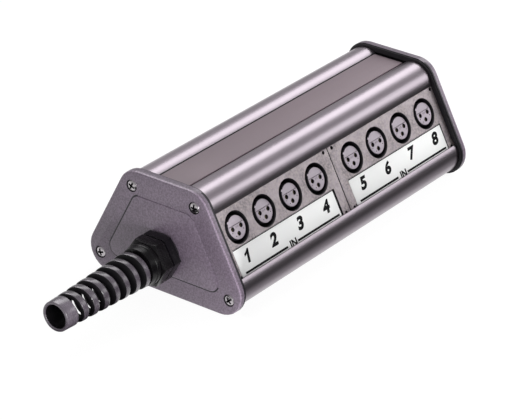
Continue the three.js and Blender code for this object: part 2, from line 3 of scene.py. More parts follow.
import math

import bmesh
import bpy
from bpy.props import FloatProperty, FloatVectorProperty, IntProperty, PointerProperty
from mathutils import Matrix, Vector


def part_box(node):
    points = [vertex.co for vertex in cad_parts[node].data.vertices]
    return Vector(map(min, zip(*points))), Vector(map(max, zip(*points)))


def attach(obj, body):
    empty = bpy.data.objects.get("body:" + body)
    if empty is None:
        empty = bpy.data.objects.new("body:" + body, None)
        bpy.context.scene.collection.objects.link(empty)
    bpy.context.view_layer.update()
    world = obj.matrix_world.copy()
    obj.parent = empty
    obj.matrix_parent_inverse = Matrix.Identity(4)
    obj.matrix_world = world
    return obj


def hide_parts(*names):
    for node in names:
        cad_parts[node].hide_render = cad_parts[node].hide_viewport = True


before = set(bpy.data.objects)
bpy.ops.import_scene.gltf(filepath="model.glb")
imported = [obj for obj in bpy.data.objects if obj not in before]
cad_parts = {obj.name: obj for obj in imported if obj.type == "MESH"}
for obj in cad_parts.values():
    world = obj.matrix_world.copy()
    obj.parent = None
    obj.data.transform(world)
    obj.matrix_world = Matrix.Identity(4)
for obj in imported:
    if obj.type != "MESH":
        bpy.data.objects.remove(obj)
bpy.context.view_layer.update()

bl_info = {
    "name": "Stage box",
    "version": (1, 0, 0),
    "blender": (4, 5, 0),
    "location": "3D View > Sidebar > Stage box",
    "description": "Builds the visible pieces of an eight-way stage box around its solids",
    "category": "Add Mesh",
}

MM = 0.001


def box_middle(node):
    """The centre of a node's box, as X, Y and Z."""
    low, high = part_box(node)
    return [(near + far) / 2 for near, far in zip(low, high)]


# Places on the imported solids, in metres
FRONT_CAP_LOW, FRONT_CAP_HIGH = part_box("front_end_cap")
REAR_CAP_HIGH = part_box("rear_end_cap")[1]
STRIP_LOW, STRIP_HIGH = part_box("top_strip")
GLAND_Z = box_middle("gland_nut")[2]
FIELD_HEIGHT = 0.6 * MM
FRONT_X = FRONT_CAP_LOW.x + FIELD_HEIGHT
REAR_X = REAR_CAP_HIGH.x - FIELD_HEIGHT
CORNER_RADIUS = 15 * MM
LOW_CORNER = Vector((41.8 * MM, CORNER_RADIUS))
TOP_CORNER = Vector((18.8 * MM, FRONT_CAP_HIGH.z - CORNER_RADIUS))
FLANK_ANGLE = math.atan2(LOW_CORNER.x - TOP_CORNER.x, TOP_CORNER.y - LOW_CORNER.y)
MODULES = ("module_1", "module_2")
HAIR = 0.1 * MM  # how far off a face the faces of a hollow start, where they are picked by place

# Housing and caps
STRIP_GAP = MM
FAR_SHADE_WIDTH = 1.2 * MM  # how far past the strip the far bar gets a painted shade line
CAP_SCORE = 4 * MM  # from a cap's edge plane to where its inner part starts
COUNTERBORE = 4.3 * MM
# width of the painted shadow along a cap's raised field
FIELD_SHADOW_WIDTH = 0.95 * MM
HIGHLIGHT_FROM, HIGHLIGHT_TO = 0.3 * MM, 1.45 * MM  # depths of the painted highlight on a cap's edge

# Cap screws
HEAD_HEIGHT = 2.1 * MM
RECESS_DEPTH = 1.3 * MM
CROSS_ARMS = (2.45, 0.66)  # half length and half width, in millimetres
CROSS_REACH, CROSS_HALF = 2.6 * MM, 0.72 * MM  # faces nearer than this are the recess

# Modules: X along the module, Y up the flank from its lower corner
PLATE_DEPTH = 4.1 * MM
PLATE_THICKNESS = 2.2 * MM
PLATE_LOW, PLATE_HIGH = -0.4 * MM, 44.9 * MM
BANK_GAP = 0.15 * MM
CUP_WALL = 0.7 * MM
SEAT_LOW, SEAT_HIGH = 2.45 * MM, 19.6 * MM
SEAT_HALF, SEAT_DEPTH = 50 * MM, 1.3 * MM
NOTCH_RADIUS = 1.2 * MM

# Inserts
KEY_ANGLE = math.radians(140)
KEY_HALF = 0.7 * MM
CROWN_LINE = 1.75 * MM
DIMPLE_CIRCLE = 5.5 * MM
DIMPLE_ANGLES = (202, 237, 333)  # degrees
MARK_MIDDLES = (-1.1, -0.45, 0.45, 1.1)  # millimetres

# Labels
FILM_LEFT, FILM_LOW, FILM_HIGH = -49.2 * MM, 2.5 * MM, 19.2 * MM
LAST_FILM_RIGHT = 49.7 * MM
FILM_FACE, FILM_THICKNESS = -0.5 * MM, 0.5 * MM
LEAN = 0.23
PRINT_ROW = ((12.3, -0.5), (12.7, 2.0))  # each module's digits: height and shift, in millimetres
INK_LIFT = 0.015 * MM
WORD_X, WORD_ROOM = 0.9 * MM, 5 * MM  # the word's middle, and where the rules beside it start
RULE_Y = 3.75 * MM
# place and half width of the painted shadow, in ink, along the film's top edge
TOP_SHADOW_Y, TOP_SHADOW_HALF = 18.95 * MM, 0.22 * MM

# Cable gland: Z outwards from the front cap's edge plane
HEX_FLATS, LOCKNUT_FLATS = 26.8, 27.5  # millimetres
NUT_BORE = 7.9 * MM  # nearer the axis than this the nut gets painted shade
SPIRAL_START, SPIRAL_END = 24.5 * MM, 87.6 * MM
TAIL_FOOT, RING_FOOT, RING_FACE = 24.6 * MM, 88 * MM, 95.4 * MM  # where the tail's painted highlight changes
TAIL_ROOT, TAIL_TIP = 12.2 * MM, 9.25 * MM
TAIL_ROOT_BORE, TAIL_TIP_BORE = 6.4 * MM, 7.4 * MM
COIL_START_ANGLE = math.radians(203)
COIL_STEPS = 72  # in one turn
COIL_ROUND = 1.2 * MM
COIL_WALL = 3 * MM  # of the straight bar, before it is wound

# Camera: its turn is azimuth, elevation and roll in degrees, and its lens is in millimetres
CAMERA_TURN = (-52.811, 27.592, 0.208)
CAMERA_AIM = Vector((0.02151, 0.00014, 0.01702))
CAMERA_DISTANCE = 1.6368
CAMERA_LENS = 186.6


def measure(name, what, millimetres):
    return FloatProperty(name=name, description=what, default=millimetres * MM, unit="LENGTH")


def tint(name, what, value):
    return FloatVectorProperty(
        name=name, description=f"Colour of {what}", default=value, subtype="COLOR", min=0, max=1)


class StageBoxSizes(bpy.types.PropertyGroup):
    """Sizes of the pieces that are built here."""

    sockets: IntProperty(name="Sockets", description="Sockets in one module", default=4, min=1)
    pitch: measure("Socket pitch", "Distance between two sockets", 26)
    socket_height: measure("Socket height", "Sockets' centres, up the flank from its lower corner", 30.2)
    mouth_radius: measure("Mouth radius", "Radius of a socket's mouth", 9.55)
    socket_depth: measure("Socket depth", "Depth of a socket's cup", 16)
    insert_radius: measure("Insert radius", "Radius of the insert in a socket", 7.6)
    contact_circle: measure("Contact circle", "From a socket's centre to its contact holes", 3.85)
    contact_hole: measure("Contact hole radius", "Radius of a contact hole", 1.42)
    label_gap: measure("Label gap", "Bare recess past the right end of a label", 1.3)
    digit_height: measure("Digit height", "Height of a printed channel number", 8.2)
    word_height: measure("Word height", "Height of the printed word", 4.9)
    line_width: measure("Line width", "Thickness of the printed line", 1.35)
    screw_head: measure("Screw head radius", "Radius of a cap screw's head", 3.6)
    coil_pitch: measure("Coil pitch", "Advance of the spiral tail in one turn", 8.7)
    coil_width: measure("Coil width", "Width of one coil along the tail", 4.9)


class StageBoxFinish(bpy.types.PropertyGroup):
    """Colours of the finishes, as linear values."""

    rail: tint("Rail", "the anodised rails", (0.34, 0.3, 0.335))
    cap: tint("Cap", "the painted end caps", (0.158, 0.124, 0.164))
    strip: tint("Strip", "the strip on the top", (0.232, 0.178, 0.202))
    plate: tint("Plate", "the socket plates", (0.315, 0.274, 0.303))
    insert: tint("Insert", "the socket inserts", (0.4, 0.35, 0.4))
    label: tint("Label", "the label film", (0.86, 0.87, 0.86))
    # The black colour is also used for the painted shade in hollows and gaps.
    black: tint("Black", "the black mouldings", (0.013, 0.011, 0.015))
    # The tail's and end ring's painted highlight are lighter copies of the gland's colour.
    gland: tint("Gland", "the cable gland", (0.0094, 0.0079, 0.0098))
    steel: tint("Steel", "the screws", (0.5, 0.47, 0.49))


def sizes():
    return bpy.context.scene.stage_box_sizes


def finish():
    return bpy.context.scene.stage_box_finish


# Places on the box


def axes_matrix(across, up, back, place):
    """A placement that is given by its three directions and its point."""
    return Matrix((
        (across[0], up[0], back[0], place[0]),
        (across[1], up[1], back[1], place[1]),
        (across[2], up[2], back[2], place[2]),
        (0, 0, 0, 1)))


def plate_matrix(module):
    """Stands a piece drawn with X along the module, Y up the flank and Z outwards on the plate's face."""
    sine, cosine = math.sin(FLANK_ANGLE), math.cos(FLANK_ANGLE)
    out = CORNER_RADIUS - PLATE_DEPTH
    place = (box_middle(f"{module}_frame")[0], -(LOW_CORNER.x + out * cosine), LOW_CORNER.y + out * sine)
    return axes_matrix((1, 0, 0), (0, sine, cosine), (0, -cosine, sine), place)


def cap_plane(end):
    """The X of a cap's edge plane, and the way from there into the housing."""
    return (FRONT_X, 1) if end == "front" else (REAR_X, -1)


def screw_nodes(end):
    return [f"{end}_screw_{i}" for i in range(1, 5)]


def socket_middles():
    """The X of each socket, from the middle of its module."""
    s = sizes()
    return [(i - (s.sockets - 1) / 2) * s.pitch for i in range(s.sockets)]


def nearest(x, y, places):
    """How far the nearest of some places lies."""
    return min(math.hypot(x - u, y - v) for u, v in places)


# Meshes


def mm(*points):
    """Points in metres from points in millimetres."""
    return [tuple(part * MM for part in point) for point in points]


def linked(name, data):
    """A new object in the scene."""
    obj = bpy.data.objects.new(name, data)
    bpy.context.scene.collection.objects.link(obj)
    return obj


def mesh_object(bm, name="work"):
    bmesh.ops.recalc_face_normals(bm, faces=bm.faces)
    mesh = bpy.data.meshes.new(name)
    bm.to_mesh(mesh)
    bm.free()
    return linked(name, mesh)


def joined_rings(rings, closed, matrix):
    """A solid that joins rings of equal counts with quads. Open ends get a face each."""
    bm = bmesh.new()
    made = [[bm.verts.new(point) for point in ring] for ring in rings]
    for low, high in zip(made, made[1:] + made[:1] if closed else made[1:]):
        for i in range(len(low)):
            j = (i + 1) % len(low)
            bm.faces.new((low[i], low[j], high[j], high[i]))
    if not closed:
        bm.faces.new(list(reversed(made[0])))
        bm.faces.new(made[-1])
    bm.transform(matrix)
    return mesh_object(bm)


def turned(profile, sides=96, at=(0, 0), closed=False, turn=0.0):
    """A solid turned about Z from (radius, z) points. A closed profile makes a ring."""
    angles = [2 * math.pi * i / sides + turn for i in range(sides)]
    rings = [[(radius * math.cos(a), radius * math.sin(a), z) for a in angles] for radius, z in profile]
    return joined_rings(rings, closed, Matrix.Translation((*at, 0)))


def slab(outline, low, high, matrix=Matrix()):
    """A straight-sided piece with an outline of X and Y points."""
    return joined_rings([[(x, y, z) for x, y in outline] for z in (low, high)], False, matrix)


def block(low, high, matrix=Matrix()):
    (x, y, z), (far_x, far_y, far_z) = low, high
    return slab([(x, y), (far_x, y), (far_x, far_y), (x, far_y)], z, far_z, matrix)


def drawing(*faces):
    """Separate flat faces, each given by its corners."""
    bm = bmesh.new()
    for corners in faces:
        bm.faces.new([bm.verts.new(corner) for corner in corners])
    return bm


def flat(name, *faces):
    return mesh_object(drawing(*faces), name)


def rectangle(x, y, far_x, far_y, z=0.0):
    return [(x, y, z), (far_x, y, z), (far_x, far_y, z), (x, far_y, z)]


def discard(obj):
    mesh = obj.data
    bpy.data.objects.remove(obj)
    bpy.data.meshes.remove(mesh)


def evaluated(obj):
    """A new mesh of what an object's modifiers, or its characters, make."""
    graph = bpy.context.evaluated_depsgraph_get()
    return bpy.data.meshes.new_from_object(obj.evaluated_get(graph))


def settled(obj):
    """Replaces an object's mesh by what its modifiers make of it, and takes them off."""
    mesh = evaluated(obj)
    old = obj.data
    obj.modifiers.clear()
    obj.data = mesh
    mesh.name = obj.name
    bpy.data.meshes.remove(old)
    return obj


def combine(body, tools, operation):
    """Joins or cuts a body with other meshes, which are used up."""
    for tool in tools:
        step = body.modifiers.new("step", "BOOLEAN")
        step.operation = operation
        step.solver = "EXACT"
        step.object = tool
        settled(body)
        discard(tool)
    return body


def together(pieces):
    """One mesh object from several drawings that don't touch."""
    bm = bmesh.new()
    for piece in pieces:
        mesh = bpy.data.meshes.new("part")
        bmesh.ops.recalc_face_normals(piece, faces=piece.faces)
        piece.to_mesh(mesh)
        piece.free()
        bm.from_mesh(mesh)
        bpy.data.meshes.remove(mesh)
    mesh = bpy.data.meshes.new("work")
    bm.to_mesh(mesh)
    bm.free()
    return linked("work", mesh)


def smooth(obj, angle=30):
    """Shades a mesh smooth, apart from edges that are sharper than an angle."""
    bm = bmesh.new()
    bm.from_mesh(obj.data)
    bmesh.ops.remove_doubles(bm, verts=bm.verts, dist=1e-7)
    limit = math.radians(angle)
    for face in bm.faces:
        face.smooth = True
    for edge in bm.edges:
        edge.smooth = len(edge.link_faces) == 2 and edge.calc_face_angle(0) < limit
    bm.to_mesh(obj.data)
    bm.free()
    return obj


def rounded_edges(obj, width, angle=40):
    bevel = obj.modifiers.new("round", "BEVEL")
    bevel.width = width
    bevel.segments = 2
    bevel.limit_method = "ANGLE"
    bevel.angle_limit = math.radians(angle)
    bevel.use_clamp_overlap = True
    return settled(obj)


def smooth_copy(node):
    """A merged copy of a node's mesh, with its coplanar facets joined."""
    bm = bmesh.new()
    bm.from_mesh(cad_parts[node].data)
    bmesh.ops.remove_doubles(bm, verts=bm.verts, dist=1e-6)
    bmesh.ops.dissolve_limit(bm, angle_limit=math.radians(0.4), verts=bm.verts, edges=bm.edges)
    return mesh_object(bm)


def scored(obj, point, normal):
    """Cuts the faces of a mesh along a plane, so that each side can have a finish of its own."""
    bm = bmesh.new()
    bm.from_mesh(obj.data)
    bmesh.ops.bisect_plane(bm, geom=[*bm.verts, *bm.edges, *bm.faces], dist=1e-7,
                           plane_co=point, plane_no=normal)
    bm.to_mesh(obj.data)
    bm.free()
    return obj


def painted(obj, names, pick=None):
    """Gives a mesh its finishes. Each face gets the first one, or the one whose number is picked for it."""
    obj.data.materials.clear()
    for name in names:
        obj.data.materials.append(material(name))
    if pick:
        for face in obj.data.polygons:
            face.material_index = int(pick(face))
    return obj


def marked(obj, pick):
    """Marks the faces that a tree gives its painted shade."""
    dark = obj.data.attributes.new("dark", "BOOLEAN", "FACE")
    for i, face in enumerate(obj.data.polygons):
        dark.data[i].value = pick(face)
    return obj


def placed(obj, name, body, nodes=()):
    """Names a finished mesh, ties it to its body, and hides the nodes it stands for."""
    obj.name = name
    obj.data.name = name
    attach(obj, body)
    if nodes:
        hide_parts(*nodes)
    return obj


# Node trees


class Wiring:
    """Adds nodes to a tree, with values or other nodes' sockets as their inputs."""

    def __init__(self, tree):
        self.tree = tree

    def add(self, kind, inputs=None, **settings):
        node = self.tree.nodes.new(kind)
        for name, value in settings.items():
            setattr(node, name, value)
        for key, value in (inputs or {}).items():
            self.feed(node.inputs[key], value)
        return node

    def feed(self, socket, value):
        if isinstance(value, bpy.types.NodeSocket):
            self.tree.links.new(value, socket)
        else:
            socket.default_value = value

    def math(self, operation, *values):
        return self.add("ShaderNodeMath", dict(enumerate(values)), operation=operation).outputs[0]

    def lerp(self, low, high, share):
        """Part of the way from one value to another."""
        return self.math("ADD", low, self.math("MULTIPLY", self.math("SUBTRACT", high, low), share))

    def spread(self, value, **ends):
        """Stretches a range of a value to another range, and clamps it."""
        inputs = {title.replace("_", " "): end for title, end in ends.items()}
        return self.add("ShaderNodeMapRange", {"Value": value, **inputs}, clamp=True).outputs["Result"]

    def blend(self, factor, first, second):
        node = self.add("ShaderNodeMix", data_type="RGBA")
        for key, value in (("Factor", factor), (6, first), (7, second)):
            self.feed(node.inputs[key], value)
        return node.outputs[2]


def group_tree(name, kind, inputs, outputs):
    """A node group with named sockets. Inputs are title, kind of socket and default."""
    tree = bpy.data.node_groups.new(name, f"{kind}NodeTree")
    for title, socket, default in inputs:
        item = tree.interface.new_socket(title, in_out="INPUT", socket_type=f"NodeSocket{socket}")
        if default is not None:
            item.default_value = default
    for title, socket in outputs:
        tree.interface.new_socket(title, in_out="OUTPUT", socket_type=f"NodeSocket{socket}")
    wiring = Wiring(tree)
    return tree, wiring, wiring.add("NodeGroupInput").outputs, wiring.add("NodeGroupOutput").inputs


def geometry_tree(name, *inputs):
    """A geometry group that has a geometry and a finish beside its own inputs."""
    return group_tree(name, "Geometry",
                      [("Geometry", "Geometry", None), *inputs, ("Material", "Material", None)],
                      [("Geometry", "Geometry")])


def grown(obj, tree, values):
    """Runs a geometry tree on an object and keeps the result as a plain mesh."""
    modifier = obj.modifiers.new("grow", "NODES")
    modifier.node_group = tree
    for item in tree.interface.items_tree:
        if item.in_out == "INPUT" and item.name in values:
            modifier[item.identifier] = values[item.name]
    return settled(obj)


def realized(w, given, shape):
    """A tree's shape without its instances, in its finish."""
    plain = w.add("GeometryNodeRealizeInstances", {"Geometry": shape})
    inputs = {"Geometry": plain.outputs[0], "Material": given["Material"]}
    return w.add("GeometryNodeSetMaterial", inputs).outputs[0]


def spread_copies(w, given, result, points, **settings):
    """Ends a tree with copies of its piece on some points, in its finish, with painted shade on the marked
    faces.
    """
    piece = w.add("GeometryNodeObjectInfo", {"Object": given["Piece"]}).outputs["Geometry"]
    spread = w.add("GeometryNodeInstanceOnPoints", {"Points": points, "Instance": piece, **settings})
    plain = realized(w, given, spread.outputs["Instances"])
    named = w.add("GeometryNodeInputNamedAttribute", {"Name": "dark"}, data_type="BOOLEAN")
    dark = w.add("GeometryNodeSetMaterial", {"Geometry": plain, "Selection": named.outputs[0],
                                             "Material": given["Dark Material"]})
    w.feed(result["Geometry"], dark.outputs["Geometry"])


# Shader groups

PATTERN_INPUTS = [("Vector", "Vector", None), ("Size", "Float", 1.0), ("Stretch", "Vector", (1, 1, 1))]


def pattern_space(w, given):
    """The stretched place to read a pattern at, and the density for a size in millimetres."""
    scaled = w.add("ShaderNodeVectorMath", {0: given["Vector"], 1: given["Stretch"]}, operation="MULTIPLY")
    return scaled.outputs[0], w.math("DIVIDE", 1000.0, given["Size"])


def grain_group():
    """Fine grain: a value for roughness and colour, and a height for a bump."""
    tree, w, given, result = group_tree("FineGrain", "Shader", PATTERN_INPUTS,
                                        [("Value", "Float"), ("Height", "Float")])
    place, density = pattern_space(w, given)
    noise = w.add("ShaderNodeTexNoise", {"Vector": place, "Scale": density, "Detail": 4.0, "Roughness": 0.6})
    cells = w.add("ShaderNodeTexVoronoi", {"Vector": place, "Scale": density})
    w.feed(result["Value"], noise.outputs["Fac"])
    w.feed(result["Height"], w.math("ADD", w.math("MULTIPLY", noise.outputs["Fac"], 0.7),
                                    w.math("MULTIPLY", cells.outputs["Distance"], 0.3)))


def cloud_group():
    """Soft uneven patches that blend two colours, as on cast, anodised or handled surfaces."""
    tree, w, given, result = group_tree(
        "SoftClouds", "Shader",
        [*PATTERN_INPUTS, ("Spread", "Float", 0.2),
         ("Color A", "Color", (0, 0, 0, 1)), ("Color B", "Color", (1, 1, 1, 1))],
        [("Color", "Color"), ("Value", "Float")])
    place, density = pattern_space(w, given)
    noise = w.add("ShaderNodeTexNoise", {"Vector": place, "Scale": density, "Detail": 3.0, "Roughness": 0.55})
    value = w.spread(noise.outputs["Fac"], From_Min=w.math("SUBTRACT", 0.5, given["Spread"]),
                     From_Max=w.math("ADD", 0.5, given["Spread"]))
    w.feed(result["Color"], w.blend(value, given["Color A"], given["Color B"]))
    w.feed(result["Value"], value)


def speck_group():
    """Sparse specks: 1 inside a speck and 0 elsewhere."""
    tree, w, given, result = group_tree("Specks", "Shader", [*PATTERN_INPUTS, ("Cover", "Float", 0.3)],
                                        [("Mask", "Float")])
    place, density = pattern_space(w, given)
    cells = w.add("ShaderNodeTexVoronoi", {"Vector": place, "Scale": density})
    noise = w.add("ShaderNodeTexNoise", {"Vector": place, "Scale": density, "Detail": 2.0})
    edge = w.math("MULTIPLY", given["Cover"], noise.outputs["Fac"])
    w.feed(result["Mask"], w.spread(cells.outputs["Distance"], From_Min=edge,
                                    From_Max=w.math("MULTIPLY", edge, 0.6)))


# Finishes


def material(name):
    return bpy.data.materials[name]


def shade(color, factor):
    return (*(min(1.0, part * factor) for part in color), 1)


class Finish:
    """One material in the making: a Principled BSDF and the groups that feed it."""

    def __init__(self, name, roughness, metallic=0.0, gloss=0.5):
        made = bpy.data.materials.new(name)
        made.use_nodes = True
        self.wiring = Wiring(made.node_tree)
        self.inputs = made.node_tree.nodes["Principled BSDF"].inputs
        for title, value in (("Roughness", roughness), ("Metallic", metallic), ("Specular IOR Level", gloss)):
            self.inputs[title].default_value = value
        self.place = self.wiring.add("ShaderNodeTexCoord").outputs["Object"]

    def group(self, tree, **values):
        node = self.wiring.add("ShaderNodeGroup", node_tree=bpy.data.node_groups[tree])
        self.wiring.feed(node.inputs["Vector"], self.place)
        for title, value in values.items():
            self.wiring.feed(node.inputs[title.replace("_", " ")], value)
        return node.outputs

    def clouds(self, base, low, high, **values):
        return self.group("SoftClouds", Color_A=shade(base, low), Color_B=shade(base, high), **values)

    def grain(self, size, stretch=(1, 1, 1)):
        return self.group("FineGrain", Size=size, Stretch=stretch)

    def times(self, value, factor):
        return self.wiring.math("MULTIPLY", value, factor)

    def mix(self, factor, first, second):
        return self.wiring.blend(factor, first, second)

    def color(self, value):
        self.wiring.feed(self.inputs["Base Color"], value)

    def roughness(self, value, low, high):
        spread = self.wiring.add("ShaderNodeMapRange", {"Value": value, "To Min": low, "To Max": high})
        self.wiring.feed(self.inputs["Roughness"], spread.outputs["Result"])

    def bump(self, height, depth, strength, under=None):
        node = self.wiring.add("ShaderNodeBump", {"Height": height, "Distance": depth, "Strength": strength})
        if under:
            self.wiring.feed(node.inputs["Normal"], under)
        self.wiring.feed(self.inputs["Normal"], node.outputs["Normal"])
        return node.outputs["Normal"]


def plain_finish(name, base, clouds, grain, rough, bump, metallic=0.0, gloss=0.5):
    """Soft clouds of one colour, with a fine grain in the gloss and in the surface.

    Clouds are size, spread, darkest and lightest. Grain is size and stretch. Rough is plain, least and most.
    Bump is depth and strength.
    """
    made = Finish(name, rough[0], metallic, gloss)
    size, spread, low, high = clouds
    made.color(made.clouds(base, low, high, Size=size, Spread=spread)["Color"])
    grain = made.grain(*grain)
    made.roughness(grain["Value"], *rough[1:])
    made.bump(grain["Height"], *bump)


def plain_finishes():
    """Mouldings, film, ink, nylon and steel. The nylon is greyer where it has been handled, and its lighter
    copies for the gland's tail and end ring are a painted highlight.
    """
    f = finish()
    plain_finish("InsertPlastic", f.insert, (5.0, 0.3, 0.92, 1.08), [0.4], (0.42, 0.36, 0.5), (0.00003, 0.3))
    plain_finish("LabelFilm", f.label, (40.0, 0.35, 0.96, 1.03), [0.3], (0.4, 0.34, 0.46), (0.00001, 0.2))
    plain_finish("PlatedSteel", f.steel, (2.0, 0.3, 0.8, 1.1), [0.25], (0.2, 0.15, 0.3), (0.00001, 0.3), 1.0)
    # The second black is for black mouldings and also for painted shade in hollows and gaps; the last is for
    # print and also for painted shade in screw recesses and between the gland's coils.
    for name, rough, grain, depth, lift, gloss in (
            ("BlackRubber", 0.7, 0.6, 0.00004, 1.0, 0.5), ("BlackShell", 0.55, 0.5, 0.00004, 1.0, 0.5),
            ("BlackNylon", 0.26, 0.7, 0.00004, 0.4, 0.2), ("PrintInk", 0.6, 0.3, 0.00001, 0.25, 0.12)):
        plain_finish(name, f.black, (8.0, 0.3, 0.75 * lift, 1.3 * lift), [grain],
                     (rough, rough * 0.85, rough * 1.15), (depth, 0.4), gloss=gloss)
    # The tail's and the end ring's nylon are lighter copies of the gland's nylon: a painted highlight.
    for name, lift, gloss in (("GlandNylon", 0.35, 0.2), ("TailNylon", 6.8, 0.9), ("RingNylon", 10.5, 0.9)):
        plain_finish(name, f.gland, (7.0, 0.25, 0.8 * lift, 1.5 * lift), [0.9, (1, 0.25, 0.25)],
                     (0.28, 0.2, 0.34), (0.00004, 0.4), gloss=gloss)


def rail_finish():
    """Satin anodised extrusion with faint die lines along X."""
    made = Finish("AnodisedRail", 0.3, 1.0)
    lines = made.grain(0.35, (0.004, 1, 1))
    clouds = made.clouds(finish().rail, 0.93, 1.06, Size=30.0, Stretch=(0.25, 1, 1), Spread=0.25)
    made.color(clouds["Color"])
    made.roughness(lines["Value"], 0.27, 0.36)
    first = made.bump(made.grain(0.6)["Height"], 0.00002, 0.25)
    made.bump(lines["Height"], 0.00002, 0.35, first)


def strip_finish():
    """Matt fine-textured paint."""
    made = Finish("MattStrip", 0.55)
    base = finish().strip
    clouds = made.clouds(base, 0.93, 1.07, Size=45.0, Stretch=(0.4, 1, 1), Spread=0.3)
    grain = made.grain(0.7)
    made.color(made.mix(made.times(grain["Value"], 0.22), clouds["Color"], shade(base, 1.5)))
    made.roughness(grain["Value"], 0.48, 0.66)
    made.bump(grain["Height"], 0.00008, 0.5)


def cap_finish(name="CapPaint", lift=1.0):
    """Satin powder coat with an even fine texture and slight uneven tone."""
    made = Finish(name, 0.36, gloss=0.6)
    base = [part * lift for part in finish().cap]
    clouds = made.clouds(base, 0.9, 1.12, Size=26.0, Stretch=(1, 1, 0.35), Spread=0.3)
    specks = made.group("Specks", Size=1.6, Cover=0.35)
    tone = made.mix(made.times(specks["Mask"], 0.12), clouds["Color"], shade(base, 1.7))
    coarse = made.wiring.spread(made.grain(1.1)["Value"], From_Min=0.38, From_Max=0.62)
    made.color(made.mix(coarse, shade(base, 0.72), made.mix(0.55, tone, shade(base, 1.45))))
    grain = made.grain(0.8)
    made.roughness(grain["Value"], 0.28, 0.46)
    made.bump(grain["Height"], 0.00009, 0.55)


def plate_finish():
    """Light grey plate with cloudy patches, fine speckle and a soft sheen."""
    made = Finish("SocketPlate", 0.45, 0.35)
    base = finish().plate
    wide = made.clouds(base, 0.66, 1.3, Size=13.0, Spread=0.13)
    fine = made.group("SoftClouds", Size=2.2, Spread=0.16)
    tone = made.mix(made.times(fine["Value"], 0.4), wide["Color"], shade(base, 0.62))
    warm = (base[0] * 1.25, base[1] * 1.26, base[2] * 1.12, 1)
    coarse = made.wiring.spread(made.grain(1.4)["Value"], From_Min=0.4, From_Max=0.66)
    made.color(made.mix(coarse, tone, warm))
    made.roughness(fine["Value"], 0.36, 0.56)
    made.bump(made.grain(0.45)["Height"], 0.00005, 0.4)


# Darker than plain brass, as painted shade: the contacts sit deep in the inserts' holes.
def contact_finish():
    made = Finish("PlatedContact", 0.3, 1.0)
    clouds = made.group("SoftClouds", Size=1.5, Spread=0.3,
                        Color_A=(0.2, 0.16, 0.08, 1), Color_B=(0.3, 0.25, 0.14, 1))
    made.color(clouds["Color"])
    made.roughness(clouds["Value"], 0.24, 0.38)


def board_finish():
    """Solder resist over traces that run along the board."""
    made = Finish("CircuitBoard", 0.35)
    grain = made.grain(3.0, (0.15, 1, 1))
    trace = made.wiring.math("GREATER_THAN", grain["Value"], 0.55)
    made.color(made.mix(trace, (0.01, 0.06, 0.03, 1), (0.03, 0.13, 0.06, 1)))
    made.bump(grain["Height"], 0.00003, 0.4)


# Printed characters


def printed(text, height, place, weight, lean=0.0, wide=1.0):
    """A flat drawing of some characters, centred on a place in the label's plane."""
    curve = bpy.data.curves.new("print", "FONT")
    curve.body = text
    curve.size = 1.0
    curve.offset = weight
    curve.align_x = "CENTER"
    curve.resolution_u = 6
    obj = linked("print", curve)
    mesh = evaluated(obj)
    bpy.data.objects.remove(obj)
    bpy.data.curves.remove(curve)
    bm = bmesh.new()
    bm.from_mesh(mesh)
    bpy.data.meshes.remove(mesh)
    low, high = min(v.co.y for v in bm.verts), max(v.co.y for v in bm.verts)
    middle = (min(v.co.x for v in bm.verts) + max(v.co.x for v in bm.verts)) / 2
    scale = height / (high - low)
    slant = Matrix.Identity(4)
    slant[0][1] = lean
    bm.transform(Matrix.Translation((*place, 0)) @ slant @ Matrix.Diagonal((scale * wide, scale, 1, 1))
                 @ Matrix.Translation((-middle, -(low + high) / 2, 0)))
    return bm


def numeral_one(height, place):
    """An upright with a flag, for the channel number that the built-in letters draw too plainly."""
    outlines = (((0.0, -0.5), (0.25, -0.5), (0.25, 0.5), (0.08, 0.5), (0.0, 0.4)),
                ((-0.1, 0.3), (-0.1, 0.09), (0.0, 0.16), (0.0, 0.4)),
                ((-0.26, 0.23), (-0.26, 0.03), (-0.1, 0.09), (-0.1, 0.3)))
    return drawing(*([(place[0] + (u + LEAN * v) * height, place[1] + v * height, 0) for u, v in outline]
                     for outline in outlines))


# Operators


class STAGEBOX_OT_finishes(bpy.types.Operator):
    """Makes the shader groups and every material of the stage box"""

    bl_idname = "stagebox.finishes"
    bl_label = "Make finishes"

    def execute(self, context):
        for make in (grain_group, cloud_group, speck_group, rail_finish, strip_finish, cap_finish,
                     plate_finish, plain_finishes, contact_finish, board_finish):
            make()
        # A lighter copy of the cap paint, for the painted highlight on the caps' edges.
        cap_finish("CapEdge", 1.75)
        return {"FINISHED"}


